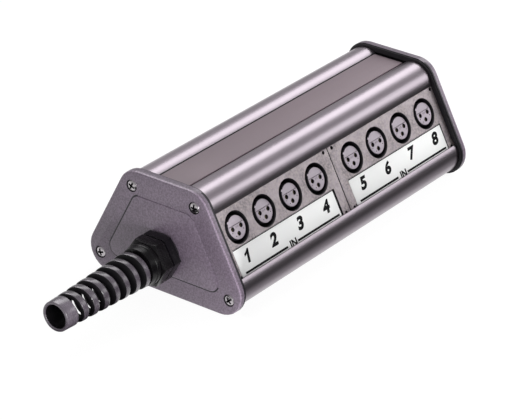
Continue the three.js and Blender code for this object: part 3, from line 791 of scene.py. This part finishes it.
class STAGEBOX_OT_stage(bpy.types.Operator):
    """Makes the floor, the lamps, the world and the camera"""

    bl_idname = "stagebox.stage"
    bl_label = "Make stage"

    def execute(self, context):
        scene = context.scene
        scene.view_settings.view_transform = "Standard"
        self.make_floor()
        self.make_world(scene)
        self.make_lamps()
        self.make_gloss_cards()
        self.make_panels()
        self.make_camera(scene)
        return {"FINISHED"}

    def bare(self, owner):
        """The wiring of a material's or world's emptied tree."""
        owner.use_nodes = True
        owner.node_tree.nodes.clear()
        return Wiring(owner.node_tree)

    def staged(self, obj, paint, **seen):
        """Keeps an object on the stage, with its material. Some stand there for some kinds of ray alone."""
        obj.data.materials.append(paint)
        if seen:
            for ray in ("camera", "diffuse", "glossy", "transmission", "shadow"):
                setattr(obj, f"visible_{ray}", seen.get(ray, False))

    def make_floor(self):
        """A pale floor that shows as white, with some of the object's shadow on it."""
        paint = bpy.data.materials.new("PaleFloor")
        w = self.bare(paint)
        rays = w.add("ShaderNodeLightPath").outputs
        lit = w.add("ShaderNodeBsdfDiffuse", {"Color": (0.9, 0.9, 0.9, 1)})
        white = w.add("ShaderNodeEmission", {"Color": (1, 1, 1, 1), "Strength": 1.08})
        seen = w.add("ShaderNodeMixShader", {0: 0.86, 1: lit.outputs[0], 2: white.outputs[0]})
        clear = w.math("MAXIMUM", rays["Is Camera Ray"], rays["Is Glossy Ray"])
        shown = w.add("ShaderNodeMixShader", {0: clear, 1: lit.outputs[0], 2: seen.outputs[0]})
        w.add("ShaderNodeOutputMaterial", {"Surface": shown.outputs[0]})
        self.staged(flat("floor", rectangle(-6, -6, 6, 6, -0.0002)), paint)

    def make_world(self, scene):
        scene.world = bpy.data.worlds.new("Studio")
        w = self.bare(scene.world)
        rays = w.add("ShaderNodeLightPath").outputs
        soft = w.add("ShaderNodeBackground", {"Color": (1, 0.985, 1, 1), "Strength": 0.47})
        white = w.add("ShaderNodeBackground", {"Color": (1, 1, 1, 1), "Strength": 1.0})
        shown = w.add("ShaderNodeMixShader", {0: rays["Is Camera Ray"], 1: soft.outputs[0],
                                              2: white.outputs[0]})
        w.add("ShaderNodeOutputWorld", {"Surface": shown.outputs[0]})

    def make_lamps(self):
        target = (0.045, 0, 0.04)
        self.softbox("TopSoftbox", target, (0.7, 0.17, 0.69), 1.4, (1.6, 0.66), 2.5)
        self.softbox("FrontSoftbox", target, (0.7, -0.64, 0.29), 0.9, (0.96, 0.32), 1.95)
        fill = self.softbox("SocketFill", (0.17, -0.05, 0.03), (0.45, -0.78, 0.45), 0.34, (0.15, 0.15), 6.0)
        fill.visible_glossy = False
        self.softbox("CapSoftbox", (FRONT_X, -0.03, 0.03), (-0.62, -0.78, 0.12), 0.24, (0.13, 0.07), 16.0)

    def softbox(self, name, target, direction, distance, size, radiance):
        lamp = bpy.data.lights.new(name, "AREA")
        lamp.shape = "RECTANGLE"
        lamp.size, lamp.size_y = size
        lamp.energy = radiance * math.pi * size[0] * size[1]
        obj = linked(name, lamp)
        obj.visible_camera = False
        way = Vector(direction).normalized()
        across = (Vector((1, 0, 0)) - way * way.x).normalized()
        obj.matrix_world = axes_matrix(across, way.cross(across), way, Vector(target) + way * distance)
        return obj

    def make_gloss_cards(self):
        """Dark cards beside the socket side, which only the gloss sees: one on the floor, one upright."""
        left, right, low, high = -0.25, 0.6, 0.0004, 0.053
        near, shade_end, far = -0.058, -0.088, -0.145
        paint = bpy.data.materials.new("DarkCard")
        w = self.bare(paint)
        place = w.add("ShaderNodeTexCoord").outputs["Object"]
        across = w.add("ShaderNodeSeparateXYZ", {0: place}).outputs["Y"]
        level = w.spread(across, From_Min=shade_end, From_Max=near, To_Min=0.06, To_Max=0.6)
        glow = w.add("ShaderNodeEmission", {"Color": (1, 0.98, 1, 1), "Strength": level})
        w.add("ShaderNodeOutputMaterial", {"Surface": glow.outputs[0]})
        upright = [(left, far, low), (right, far, low), (right, far, high), (left, far, high)]
        self.staged(flat("dark_cards", rectangle(left, far, right, near, low), upright), paint, glossy=True)

    def make_panels(self):
        """A card for the gland's light lines, a black one under its tail, and a flag for the cap's lamp."""
        overhead = Vector((FRONT_X, 0, 0.03)) + Vector((0.1, 0.5, 0.85)) * 0.9
        self.panel("overhead_card", overhead, Vector((0.3, 0, -0.03)), Vector((0, 0.26, -0.15)), 5.0,
                   glossy=True)
        self.panel("under_card", Vector((FRONT_X - 0.09, -0.012, 0.0006)), Vector((0.055, 0, 0)),
                   Vector((0, 0.04, 0)), 0.0, True, diffuse=True, glossy=True)
        self.panel("flag", Vector((FRONT_X + 6 * MM, -0.168, 0.08)), Vector((0, 0.115, 0)),
                   Vector((0, 0, 0.08)), 0.0, shadow=True)

    def panel(self, name, middle, across, up, strength, one_sided=False, **seen):
        """A flat card that glows or is black. A one-sided card is clear from below."""
        paint = bpy.data.materials.new(name)
        w = self.bare(paint)
        surface = w.add("ShaderNodeEmission", {"Color": (1, 0.97, 1, 1), "Strength": strength}).outputs[0]
        if one_sided:
            under = w.add("ShaderNodeNewGeometry").outputs["Backfacing"]
            clear = w.add("ShaderNodeBsdfTransparent").outputs[0]
            surface = w.add("ShaderNodeMixShader", {0: under, 1: surface, 2: clear}).outputs[0]
        w.add("ShaderNodeOutputMaterial", {"Surface": surface})
        corners = [middle + across * u + up * v for u, v in ((-1, -1), (1, -1), (1, 1), (-1, 1))]
        self.staged(flat(name, corners), paint, **seen)

    def make_camera(self, scene):
        camera = bpy.data.cameras.new("Camera")
        camera.sensor_width = 36
        camera.lens = CAMERA_LENS
        obj = linked("Camera", camera)
        azimuth, elevation, roll = (math.radians(angle) for angle in CAMERA_TURN)
        back = Vector((math.sin(azimuth) * math.cos(elevation),
                       -math.cos(azimuth) * math.cos(elevation), math.sin(elevation)))
        right = (-back).cross(Vector((0, 0, 1))).normalized()
        up = right.cross(-back)
        level = math.cos(roll) * right + math.sin(roll) * up
        upright = math.cos(roll) * up - math.sin(roll) * right
        obj.matrix_world = axes_matrix(level, upright, back, CAMERA_AIM + back * CAMERA_DISTANCE)
        scene.camera = obj


class STAGEBOX_OT_housing(bpy.types.Operator):
    """Makes the rails, the strip on the top and the blank panel at the back"""

    bl_idname = "stagebox.housing"
    bl_label = "Make housing"

    def execute(self, context):
        upper = scored(smooth_copy("top_profile"), (0, STRIP_HIGH.y + FAR_SHADE_WIDTH, 0), (0, 1, 0))
        lower = smooth_copy("bottom_profile")
        for rails, name, node, pick in ((upper, "upper_rails", "top_profile", self.by_the_strip),
                                        (lower, "lower_rails", "bottom_profile", None)):
            painted(smooth(rails, 25), ["AnodisedRail", "BlackShell"] if pick else ["AnodisedRail"], pick)
            placed(rails, name, "box", [node])
        # The strip's far edge gets painted shade too, which widens the shadow line beside it.
        for name, node, pick in (("cover_strip", "top_strip", lambda face: face.normal.y > 0.3),
                                 ("blank_panel", "back_panel", None)):
            sheet = smooth(rounded_edges(smooth_copy(node), 0.25 * MM), 60)
            painted(sheet, ["MattStrip", "BlackShell"] if pick else ["MattStrip"], pick)
            placed(sheet, name, "box", [node])
        return {"FINISHED"}

    def by_the_strip(self, face):
        """Picks the strip's seat and the far bar's foot for painted shade, so that the gaps round the strip
        look black.
        """
        x, y, z = face.center
        seat = STRIP_LOW.y - STRIP_GAP < y < STRIP_HIGH.y + STRIP_GAP and (
            STRIP_LOW.z - 0.3 * MM < z < STRIP_HIGH.z - HAIR)
        foot = STRIP_HIGH.y + 0.6 * MM < y < STRIP_HIGH.y + FAR_SHADE_WIDTH and (
            z > STRIP_HIGH.z - MM and face.normal.z > 0.2)
        return seat or foot


class STAGEBOX_OT_caps(bpy.types.Operator):
    """Makes the two end caps, a painted shadow along each cap's raised field, and their gaskets"""

    bl_idname = "stagebox.caps"
    bl_label = "Make end caps"

    def execute(self, context):
        for end in ("front", "rear"):
            face_x, inward = cap_plane(end)
            cap = scored(smooth_copy(f"{end}_end_cap"), (face_x + inward * CAP_SCORE, 0, 0), (1, 0, 0))
            self.dress(smooth(cap, 40), end)
            placed(cap, f"{end}_cap", "box", [f"{end}_end_cap"])
            line = painted(self.field_line(cap, end), ["BlackShell"])
            placed(line, f"{end}_field_line", "box")
            seal = painted(smooth(smooth_copy(f"{end}_cap_seal"), 40), ["BlackRubber"])
            placed(seal, f"{end}_gasket", "box", [f"{end}_cap_seal"])
        return {"FINISHED"}

    def dress(self, cap, end):
        """Bare black for the inner side, painted shade in the counterbores and on the rim's inner part on the
        flank side, and a painted highlight on the edge.
        """
        face_x, inward = cap_plane(end)
        screws = [box_middle(node)[1:] for node in screw_nodes(end)]

        def pick(face):
            x, y, z = face.center
            depth = (x - face_x) * inward
            # Painted shade in the counterbores and on the rim's inner part; a painted highlight on the edge.
            shaded_counterbore = depth > HAIR and nearest(y, z, screws) < COUNTERBORE
            shaded_rim = depth > CAP_SCORE and abs(face.normal.x) < 0.3 and face.normal.y < -0.4
            edge_highlight = HIGHLIGHT_FROM < depth < HIGHLIGHT_TO and 0.15 < abs(face.normal.x) < 0.97
            return 1 if shaded_counterbore or shaded_rim or face.normal.x * inward > 0.5 else 2 if edge_highlight else 0

        painted(cap, ["CapPaint", "BlackShell", "CapEdge"], pick)

    def field_line(self, cap, end):
        """A painted shadow along the foot of the raised field, on its low side and its back side."""
        face_x, inward = cap_plane(end)
        verts = cap.data.vertices
        feet, sums = [], {}
        for face in cap.data.polygons:
            if abs(face.normal.x) > 0.2 or (face.center.x - face_x) * inward > -0.05 * MM:
                continue
            low = [i for i in face.vertices if abs(verts[i].co.x - face_x) < 0.02 * MM]
            if len(low) == 2:
                feet.append((low, face.normal.copy()))
                for i in low:
                    sums[i] = sums.get(i, Vector((0, 0, 0))) + face.normal
        bm = bmesh.new()
        for (a, b), normal in feet:
            if normal.y < 0.25 and normal.z > -0.25:
                continue
            first, last = (verts[i].co - Vector((inward * 0.02 * MM, 0, 0)) for i in (a, b))
            corners = (first, last, last + sums[b].normalized() * FIELD_SHADOW_WIDTH,
                       first + sums[a].normalized() * FIELD_SHADOW_WIDTH)
            face = bm.faces.new([bm.verts.new(corner) for corner in corners])
            face.normal_update()
            if face.normal.x * inward > 0:
                face.normal_flip()
        bmesh.ops.remove_doubles(bm, verts=bm.verts, dist=1e-6)
        return mesh_object(bm)


class STAGEBOX_OT_cap_screws(bpy.types.Operator):
    """Sets a cross-recessed pan-head screw in each counterbore of both caps"""

    bl_idname = "stagebox.cap_screws"
    bl_label = "Make cap screws"

    def execute(self, context):
        screw = self.screw()
        tree = self.tree()
        for end, facing in (("front", 0.0), ("rear", math.pi)):
            nodes = screw_nodes(end)
            bm = bmesh.new()
            for node in nodes:
                bm.verts.new((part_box(node)[1 if facing else 0].x, *box_middle(node)[1:]))
            row = grown(mesh_object(bm), tree, {
                "Piece": screw, "Turn": math.radians(25), "Facing": facing,
                "Material": material("PlatedSteel"), "Dark Material": material("PrintInk")})
            placed(smooth(row, 35), f"{end}_screws", "box", nodes)
        discard(screw)
        return {"FINISHED"}

    def screw(self):
        """A screw along +X with the top of its head at X = 0."""
        radius, floor = sizes().screw_head, HEAD_HEIGHT - RECESS_DEPTH
        dome = [(radius * math.cos(math.radians(a)), HEAD_HEIGHT * (0.33 + 0.67 * math.sin(math.radians(a))))
                for a in range(0, 86, 10)]
        body = turned([*mm((1.0, -14), (2, -13), (2, 0)), (radius - 0.15 * MM, 0), (radius, 0.15 * MM), *dome,
                       (0.1 * MM, HEAD_HEIGHT)], 48)
        slots = []
        for half_x, half_y in (CROSS_ARMS, CROSS_ARMS[::-1]):
            rings = [[(u * half_x * share * MM, v * half_y * share * MM, z)
                      for u, v in ((-1, -1), (1, -1), (1, 1), (-1, 1))]
                     for share, z in ((0.72, floor), (1.06, HEAD_HEIGHT + 0.3 * MM))]
            slots.append(joined_rings(rings, False, Matrix()))
        combine(body, slots, "DIFFERENCE")

        # The cross recess gets painted shade.
        def in_recess(face):
            x, y, z = face.center
            cross = min(abs(x), abs(y)) < CROSS_HALF and math.hypot(x, y) < CROSS_REACH
            return cross and floor - HAIR < z < HEAD_HEIGHT - 0.06 * MM and (
                abs(face.normal.z) < 0.75 or z < floor + 0.05 * MM)

        marked(body, in_recess)
        body.data.transform(Matrix.Rotation(-math.pi / 2, 4, "Y") @ Matrix.Translation((0, 0, -HEAD_HEIGHT)))
        return body

    def tree(self):
        """Screws on the points of a mesh, each turned a little further than the one before."""
        tree, w, given, result = geometry_tree(
            "ScrewSet", ("Piece", "Object", None), ("Turn", "Float", 0.4), ("Facing", "Float", 0.0),
            ("Dark Material", "Material", None))
        about = w.math("MULTIPLY", w.add("GeometryNodeInputIndex").outputs[0], given["Turn"])
        turn = w.add("ShaderNodeCombineXYZ", {"X": about, "Z": given["Facing"]}).outputs[0]
        spread_copies(w, given, result, given["Geometry"], Rotation=turn)
        return tree


class STAGEBOX_OT_modules(bpy.types.Operator):
    """Makes the two moulded socket banks"""

    bl_idname = "stagebox.modules"
    bl_label = "Make socket banks"

    def execute(self, context):
        for module in MODULES:
            low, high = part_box(f"{module}_frame")
            bank = self.bank((high.x - low.x) / 2 - BANK_GAP)
            bank.data.transform(plate_matrix(module))
            placed(smooth(bank, 30), f"{module}_bank", "box", [f"{module}_frame"])
        return {"FINISHED"}

    def bank(self, half):
        """A plate with its cups, mouths, label seat and notches, with painted shade in their hollows and on the
        plate's back and ends.
        """
        s = sizes()
        radius, depth = s.mouth_radius, s.socket_depth
        centres = [(x, s.socket_height) for x in socket_middles()]
        notches = [*((side * (half - 4 * MM), edge * MM) for side in (-1, 1) for edge in (2.6, 41.9)),
                   (7 * MM - half, 2.9 * MM)]
        body = rounded_edges(block((-half, PLATE_LOW, -PLATE_THICKNESS), (half, PLATE_HIGH, 0)), 0.2 * MM)
        shell = [(radius + CUP_WALL, -depth), (radius + CUP_WALL, -0.6 * MM)]
        combine(body, [turned(shell, at=centre) for centre in centres], "UNION")
        mouth = [(radius, -depth - MM), (radius, -0.75 * MM), (radius + 0.25 * MM, -0.35 * MM),
                 (radius + 0.5 * MM, -0.05 * MM), (radius + 0.5 * MM, MM)]
        drill = [(NOTCH_RADIUS, -4 * MM), (NOTCH_RADIUS, MM)]
        combine(body, [block((-SEAT_HALF, SEAT_LOW, -SEAT_DEPTH), (SEAT_HALF, SEAT_HIGH, MM)),
                       *(turned(mouth, at=centre) for centre in centres),
                       *(turned(drill, 24, at=place) for place in notches)], "DIFFERENCE")

        # Painted shade in the cups, the seat and its end walls, the notches, the plate's back and its ends.
        def inside(face):
            x, y, z = face.center
            cup = nearest(x, y, centres) < radius + 0.48 * MM and z < -0.01 * MM
            seat = abs(face.normal.z) > 0.9 and abs(z + SEAT_DEPTH) < 0.05 * MM
            back = z < -PLATE_THICKNESS - HAIR
            notch = z < -0.02 * MM and nearest(x, y, notches) < NOTCH_RADIUS + 0.05 * MM
            wall = abs(abs(x) - SEAT_HALF) < 0.5 * MM and 2 * MM < y < 20 * MM and z < -HAIR
            end = abs(face.normal.x) > 0.9 and abs(x) > half - HAIR
            return cup or seat or back or notch or wall or end

        return painted(body, ["SocketPlate", "BlackShell"], inside)


class STAGEBOX_OT_inserts(bpy.types.Operator):
    """Sets an insert with three contact holes in each socket"""

    bl_idname = "stagebox.inserts"
    bl_label = "Make socket inserts"

    def execute(self, context):
        insert = self.insert()
        tree = self.tree()
        s = sizes()
        for bank, module in enumerate(MODULES):
            nodes = [f"socket_{bank * s.sockets + i + 1}_insert" for i in range(s.sockets)]
            row = grown(mesh_object(bmesh.new()), tree, {
                "Piece": insert, "Count": s.sockets, "Pitch": s.pitch, "Height": s.socket_height,
                "Material": material("InsertPlastic"), "Dark Material": material("BlackShell")})
            row.data.transform(plate_matrix(module))
            placed(smooth(row, 30), f"{module}_inserts", "box", nodes)
        discard(insert)
        return {"FINISHED"}

    def insert(self):
        """A round insert with its key, raised crown, contact holes and small marks, its face at Z = 0."""
        s = sizes()
        radius, depth, hole, circle = s.insert_radius, s.socket_depth, s.contact_hole, s.contact_circle
        core = turned([(radius, -depth), (radius, -1.3 * MM), (radius - 0.25 * MM, -0.5 * MM),
                       (radius - 0.5 * MM, -0.2 * MM), (radius - 0.62 * MM, -0.05 * MM),
                       (radius - 0.75 * MM, 0)])
        key = block((0, -KEY_HALF, -depth), (radius + 0.3 * MM, KEY_HALF, -0.08 * MM),
                    Matrix.Rotation(KEY_ANGLE, 4, "Z"))
        combine(core, [key], "UNION")
        groove = block(*mm((-6.3, 1.6, -0.9), (6.3, 1.9, 1)))
        marks = [block(*mm((u - 0.14, -0.3, -0.5), (u + 0.14, 0.95, 1))) for u in MARK_MIDDLES]
        spots = [(DIMPLE_CIRCLE * math.cos(math.radians(a)), DIMPLE_CIRCLE * math.sin(math.radians(a)))
                 for a in DIMPLE_ANGLES]
        dimples = [turned(mm((0.3, -0.5), (0.42, 1)), 16, at=spot) for spot in spots]
        contacts = [(-circle, 0), (circle, 0), (0, -circle)]
        bore = [(hole, -depth - MM), (hole, -0.2 * MM), (hole + 0.2 * MM, 0.02 * MM), (hole + 0.2 * MM, MM)]
        holes = [turned(bore, 32, at=contact) for contact in contacts]
        crowns = [self.crown(radius + 2 * MM, 0.22 * MM), self.crown(radius - 0.9 * MM, 0.5 * MM)]
        combine(core, [*crowns, groove, *marks, *dimples, *holes], "DIFFERENCE")

        # Painted shade in the gap round the insert, along the crown's line, in the dimples and in the contact
        # holes; the key's top stays light.
        def dark(face):
            x, y, z = face.center
            out = math.hypot(x, y)
            step = 1.55 * MM < y < 1.95 * MM and z < -0.3 * MM and abs(x) < 6.4 * MM
            rim = out > radius - 0.56 * MM and z < -HAIR
            dimple = abs(out - DIMPLE_CIRCLE) < 0.45 * MM and y < 0 and -0.6 * MM < z < -HAIR
            contact = z < -HAIR and nearest(x, y, contacts) < hole + 0.15 * MM
            across = y * math.cos(KEY_ANGLE) - x * math.sin(KEY_ANGLE)
            key = x < 0 and out > radius - 0.8 * MM and abs(across) < KEY_HALF + 0.02 * MM
            return not (key and face.normal.z > 0.5) and (rim or step or dimple or contact)

        return marked(core, dark)

    def crown(self, radius, depth):
        """The part of a disc above the crown's line, as a shallow cutter."""
        start = math.asin(CROWN_LINE / radius)
        steps = 40
        arc = [start + (math.pi - 2 * start) * i / steps for i in range(steps + 1)]
        return slab([(radius * math.cos(a), radius * math.sin(a)) for a in arc], -depth, MM)

    def tree(self):
        """Inserts in a straight row about X = 0."""
        tree, w, given, result = geometry_tree(
            "InsertRow", ("Piece", "Object", None), ("Count", "Int", 4), ("Pitch", "Float", 0.026),
            ("Height", "Float", 0.03), ("Dark Material", "Material", None))
        first = w.math("MULTIPLY", w.math("SUBTRACT", given["Count"], 1.0),
                       w.math("MULTIPLY", given["Pitch"], -0.5))
        start = w.add("ShaderNodeCombineXYZ", {"X": first, "Y": given["Height"]}).outputs[0]
        step = w.add("ShaderNodeCombineXYZ", {"X": given["Pitch"]}).outputs[0]
        line = w.add("GeometryNodeMeshLine", {"Count": given["Count"], "Start Location": start,
                                              "Offset": step})
        spread_copies(w, given, result, line.outputs[0])
        return tree


class STAGEBOX_OT_labels(bpy.types.Operator):
    """Lays a label strip under each bank and prints its channel numbers"""

    bl_idname = "stagebox.labels"
    bl_label = "Make labels"

    def execute(self, context):
        for bank, module in enumerate(MODULES):
            right = LAST_FILM_RIGHT if bank else SEAT_HALF - sizes().label_gap
            matrix = plate_matrix(module)
            film = rounded_edges(block((FILM_LEFT, FILM_LOW, FILM_FACE - FILM_THICKNESS),
                                       (right, FILM_HIGH, FILM_FACE)), 0.08 * MM)
            film.data.transform(matrix)
            placed(painted(smooth(film, 60), ["LabelFilm"]), f"{module}_film", "box",
                   [f"{module}_label"])
            ink = together(self.marks(bank, right))
            ink.data.transform(matrix @ Matrix.Translation((0, 0, FILM_FACE + INK_LIFT)))
            placed(painted(ink, ["PrintInk"]), f"{module}_print", "box")
        return {"FINISHED"}

    def marks(self, bank, right):
        """Drawings of a label's numbers, its word, the two rules beside the word, and a painted shadow along
        the film's top edge.
        """
        s = sizes()
        digit_y, shift = (part * MM for part in PRINT_ROW[bank])
        found = []
        for number, x in enumerate(socket_middles(), bank * s.sockets + 1):
            place = (x + shift, digit_y)
            found.append(numeral_one(s.digit_height, place) if number == 1
                         else printed(str(number), s.digit_height, place, 0.05, LEAN, 1.16))
        found.append(printed("IN", s.word_height, (WORD_X, RULE_Y + 0.2 * MM), 0.045, 0.0, 1.05))
        for start, end, y, half in ((FILM_LEFT + 3.6 * MM, -WORD_ROOM, RULE_Y, s.line_width / 2),
                                    (WORD_ROOM, right - 1.6 * MM, RULE_Y, s.line_width / 2),
                                    # the last is a painted shadow, in ink, along the film's top edge
                                    (FILM_LEFT, right, TOP_SHADOW_Y, TOP_SHADOW_HALF)):
            found.append(drawing(rectangle(start, y - half, end, y + half)))
        for bm in found:
            for face in bm.faces:
                if face.normal.z < 0:
                    face.normal_flip()
        return found


class STAGEBOX_OT_gland(bpy.types.Operator):
    """Makes the cable gland: body, washer, locknut, clamp, and the nut with its spiral tail"""

    bl_idname = "stagebox.gland"
    bl_label = "Make cable gland"

    def execute(self, context):
        for node, name, body in (("gland_washer", "gland_ring", "box"),
                                 ("gland_clamp", "gland_fingers", "clamp")):
            placed(painted(smooth(smooth_copy(node), 35), ["BlackRubber"]), name, body, [node])
        self.fixed_body()
        self.locknut()
        self.nut()
        return {"FINISHED"}

    def hexagon(self, flats, start, end, low, high):
        """A hexagonal block along Z, in millimetres, with its corners turned off by a chamfer at each end."""
        corner = flats / 2 / math.cos(math.pi / 6)
        wide = corner + 0.1
        prism = turned(mm((corner, start), (corner, end)), 6, turn=math.pi / 6)
        barrel = turned(mm((wide - 1.5 * low, start), (wide, start + low), (wide, end - high),
                           (wide - 1.5 * high, end)))
        return rounded_edges(combine(prism, [barrel], "INTERSECT"), 0.18 * MM, 25)

    def stand(self, obj):
        """Turns a piece drawn along Z, outwards from the cap's edge plane, to point out of the front cap."""
        obj.data.transform(Matrix.Translation((FRONT_X, 0, GLAND_Z)) @ Matrix.Rotation(math.pi, 4, "Z")
                           @ Matrix.Rotation(math.pi / 2, 4, "Y"))
        return obj

    def moulded(self, obj, name, node):
        """Stands and finishes a black piece that is fixed to the box."""
        placed(painted(smooth(self.stand(obj), 30), ["BlackNylon"]), name, "box", [node])

    def fixed_body(self):
        flange = self.hexagon(HEX_FLATS, 2.4, 8.2, 0.25, 0.5)
        rod = turned(mm((11.2, -9.5), (11.2, 3), (10.2, 3), (10.2, 16.6)))
        bore = turned(mm((8, -10.5), (8, 5), (9, 5), (9, 17.6)))
        combine(flange, [rod], "UNION")
        combine(flange, [bore], "DIFFERENCE")
        self.moulded(flange, "gland_base", "gland_body")

    def locknut(self):
        nut = self.hexagon(LOCKNUT_FLATS, -8.8, -3.8, 1.4, 1.4)
        combine(nut, [turned(mm((11.5, -9.8), (11.5, -2.8)))], "DIFFERENCE")
        self.moulded(nut, "gland_backnut", "gland_locknut")

    def nut(self):
        """The hexagon, the tail's root, its coil and its end ring as one mesh."""
        nut = self.hexagon(HEX_FLATS, 9.2, 17.5, 0.4, 1.45)
        root = turned(mm((8.6, 16.5), (13.0, 16.5), (13.0, 19.9), (12.85, 20.3), (12.5, 20.6), (12.4, 21.0),
                         (12.25, 23.9), (12.1, 24.3), (11.8, 24.5), (7.6, 24.5), (7.6, 20.3)), closed=True)
        tip = turned(mm((7.45, 87.6), (9.3, 87.6), (9.55, 87.8), (9.28, 95.4), (9.1, 95.8), (8.8, 96.0),
                        (7.8, 96.0), (7.4, 95.5)), closed=True)
        combine(nut, [root, self.coil(), tip], "UNION")
        combine(nut, [turned(mm((10.5, 8.2), (10.5, 16.9), (9.0, 16.9), (8.1, 20.3)))], "DIFFERENCE")

        # Painted light on the nut: the tail's outer faces and its end ring get lighter copies of the nylon as a
        # painted highlight, and the coils' sides, the tail's bore and the nut's bore get painted shade.
        def pick(face):
            x, y, z = face.center
            from_axis = math.hypot(x, y)
            out = (face.normal.x * x + face.normal.y * y) / max(from_axis, 1e-6)
            if z > TAIL_FOOT:
                end_ring = z > RING_FACE or out > 0.5 and z > RING_FOOT
                return 3 if end_ring else 2 if out > 0.86 else 4
            return 1 if from_axis < NUT_BORE else 0

        painted(nut, ["GlandNylon", "BlackShell", "TailNylon", "RingNylon", "PrintInk"], pick)
        placed(smooth(self.stand(nut), 35), "spiral_nut", "nut", ["gland_nut"])

    def coil(self):
        s = sizes()
        turns = (SPIRAL_END - SPIRAL_START + s.coil_width) / s.coil_pitch
        return grown(mesh_object(bmesh.new()), self.coil_tree(), {
            "Turns": turns, "Steps": int(turns * COIL_STEPS), "Pitch": s.coil_pitch, "Width": s.coil_width,
            "Start": SPIRAL_START - s.coil_width / 2, "Round": COIL_ROUND, "Root Radius": TAIL_ROOT,
            "Tip Radius": TAIL_TIP, "Root Bore": TAIL_ROOT_BORE, "Tip Bore": TAIL_TIP_BORE,
            "Turn": COIL_START_ANGLE, "Material": material("GlandNylon")})

    def coil_tree(self):
        """A rounded bar whose length counts turns, wound round Z between the tail's bore and its taper."""
        numbers = (("Pitch", 0.0087), ("Width", 0.0057), ("Start", 0.02), ("Round", 0.001),
                   ("Root Radius", 0.0109), ("Tip Radius", 0.0091), ("Root Bore", 0.0079),
                   ("Tip Bore", 0.0074), ("Tail Start", 0.024), ("Tail End", 0.096), ("Turn", 0.0),
                   ("Turns", 7.9))
        tree, w, given, result = geometry_tree(
            "WoundCoil", *((title, "Float", value) for title, value in numbers), ("Steps", "Int", 500))
        end = w.add("ShaderNodeCombineXYZ", {"Z": given["Turns"]}).outputs[0]
        line = w.add("GeometryNodeCurvePrimitiveLine", {"End": end})
        bar = w.add("GeometryNodeResampleCurve", {"Curve": line.outputs[0], "Count": given["Steps"]})
        section = w.add("GeometryNodeCurvePrimitiveQuadrilateral", {"Width": COIL_WALL,
                                                                    "Height": given["Width"]})
        soft = w.add("GeometryNodeFilletCurve", {"Curve": section.outputs[0], "Radius": given["Round"],
                                                 "Count": 5}, mode="POLY")
        swept = w.add("GeometryNodeCurveToMesh", {"Curve": bar.outputs[0], "Profile Curve": soft.outputs[0],
                                                  "Fill Caps": True})
        place = w.add("ShaderNodeSeparateXYZ", {0: w.add("GeometryNodeInputPosition").outputs[0]}).outputs
        share = w.math("ADD", w.math("DIVIDE", place["X"], COIL_WALL), 0.5)
        angle = w.math("ADD", w.math("MULTIPLY", place["Z"], 2 * math.pi), given["Turn"])
        middle = w.math("ADD", given["Start"], w.math("MULTIPLY", place["Z"], given["Pitch"]))
        length = w.math("SUBTRACT", given["Tail End"], given["Tail Start"])
        reach = w.math("DIVIDE", w.math("SUBTRACT", middle, given["Tail Start"]), length)
        foot = w.math("MULTIPLY", w.math("SUBTRACT", 1.0, share), w.lerp(0.75, 0.3, reach))
        along = w.math("ADD", middle, w.math("MULTIPLY", place["Y"], w.math("ADD", 1.0, foot)))
        taper = w.math("DIVIDE", w.math("SUBTRACT", along, given["Tail Start"]), length)
        radius = w.lerp(w.lerp(given["Root Bore"], given["Tip Bore"], taper),
                        w.lerp(given["Root Radius"], given["Tip Radius"], taper), share)
        wound = w.add("ShaderNodeCombineXYZ", {
            "X": w.math("MULTIPLY", radius, w.math("COSINE", angle)),
            "Y": w.math("MULTIPLY", radius, w.math("SINE", angle)), "Z": along}).outputs[0]
        bent = w.add("GeometryNodeSetPosition", {"Geometry": swept.outputs[0], "Position": wound})
        w.feed(result["Geometry"], realized(w, given, bent.outputs[0]))
        return tree


class STAGEBOX_OT_inner(bpy.types.Operator):
    """Gives the circuit boards and the contacts their finishes"""

    bl_idname = "stagebox.inner"
    bl_label = "Finish inner pieces"

    def execute(self, context):
        for name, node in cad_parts.items():
            if "_board" in name:
                painted(node, ["CircuitBoard"])
            if "_contact_" in name:
                painted(node, ["PlatedContact"])
        return {"FINISHED"}


class STAGEBOX_PT_panel(bpy.types.Panel):
    """Lists the pieces of the stage box"""

    bl_idname = "STAGEBOX_PT_panel"
    bl_label = "Stage box"
    bl_space_type = "VIEW_3D"
    bl_region_type = "UI"
    bl_category = "Stage box"

    def draw(self, context):
        for title in STEPS:
            self.layout.operator(f"stagebox.{title}")
        for group in (context.scene.stage_box_sizes, context.scene.stage_box_finish):
            box = self.layout.box()
            for name in group.bl_rna.properties.keys():
                if name not in ("rna_type", "name"):
                    box.prop(group, name)


STEPS = ("finishes", "stage", "housing", "caps", "cap_screws", "modules", "inserts", "labels", "gland",
         "inner")

CLASSES = (
    StageBoxSizes, StageBoxFinish, STAGEBOX_OT_finishes, STAGEBOX_OT_stage, STAGEBOX_OT_housing,
    STAGEBOX_OT_caps, STAGEBOX_OT_cap_screws, STAGEBOX_OT_modules, STAGEBOX_OT_inserts,
    STAGEBOX_OT_labels, STAGEBOX_OT_gland, STAGEBOX_OT_inner, STAGEBOX_PT_panel)


def register():
    for cls in CLASSES:
        bpy.utils.register_class(cls)
    bpy.types.Scene.stage_box_sizes = PointerProperty(type=StageBoxSizes)
    bpy.types.Scene.stage_box_finish = PointerProperty(type=StageBoxFinish)


def unregister():
    del bpy.types.Scene.stage_box_finish
    del bpy.types.Scene.stage_box_sizes
    for cls in reversed(CLASSES):
        bpy.utils.unregister_class(cls)


def main():
    register()
    for step in STEPS:
        getattr(bpy.ops.stagebox, step)()


if __name__ == "__main__":
    main()
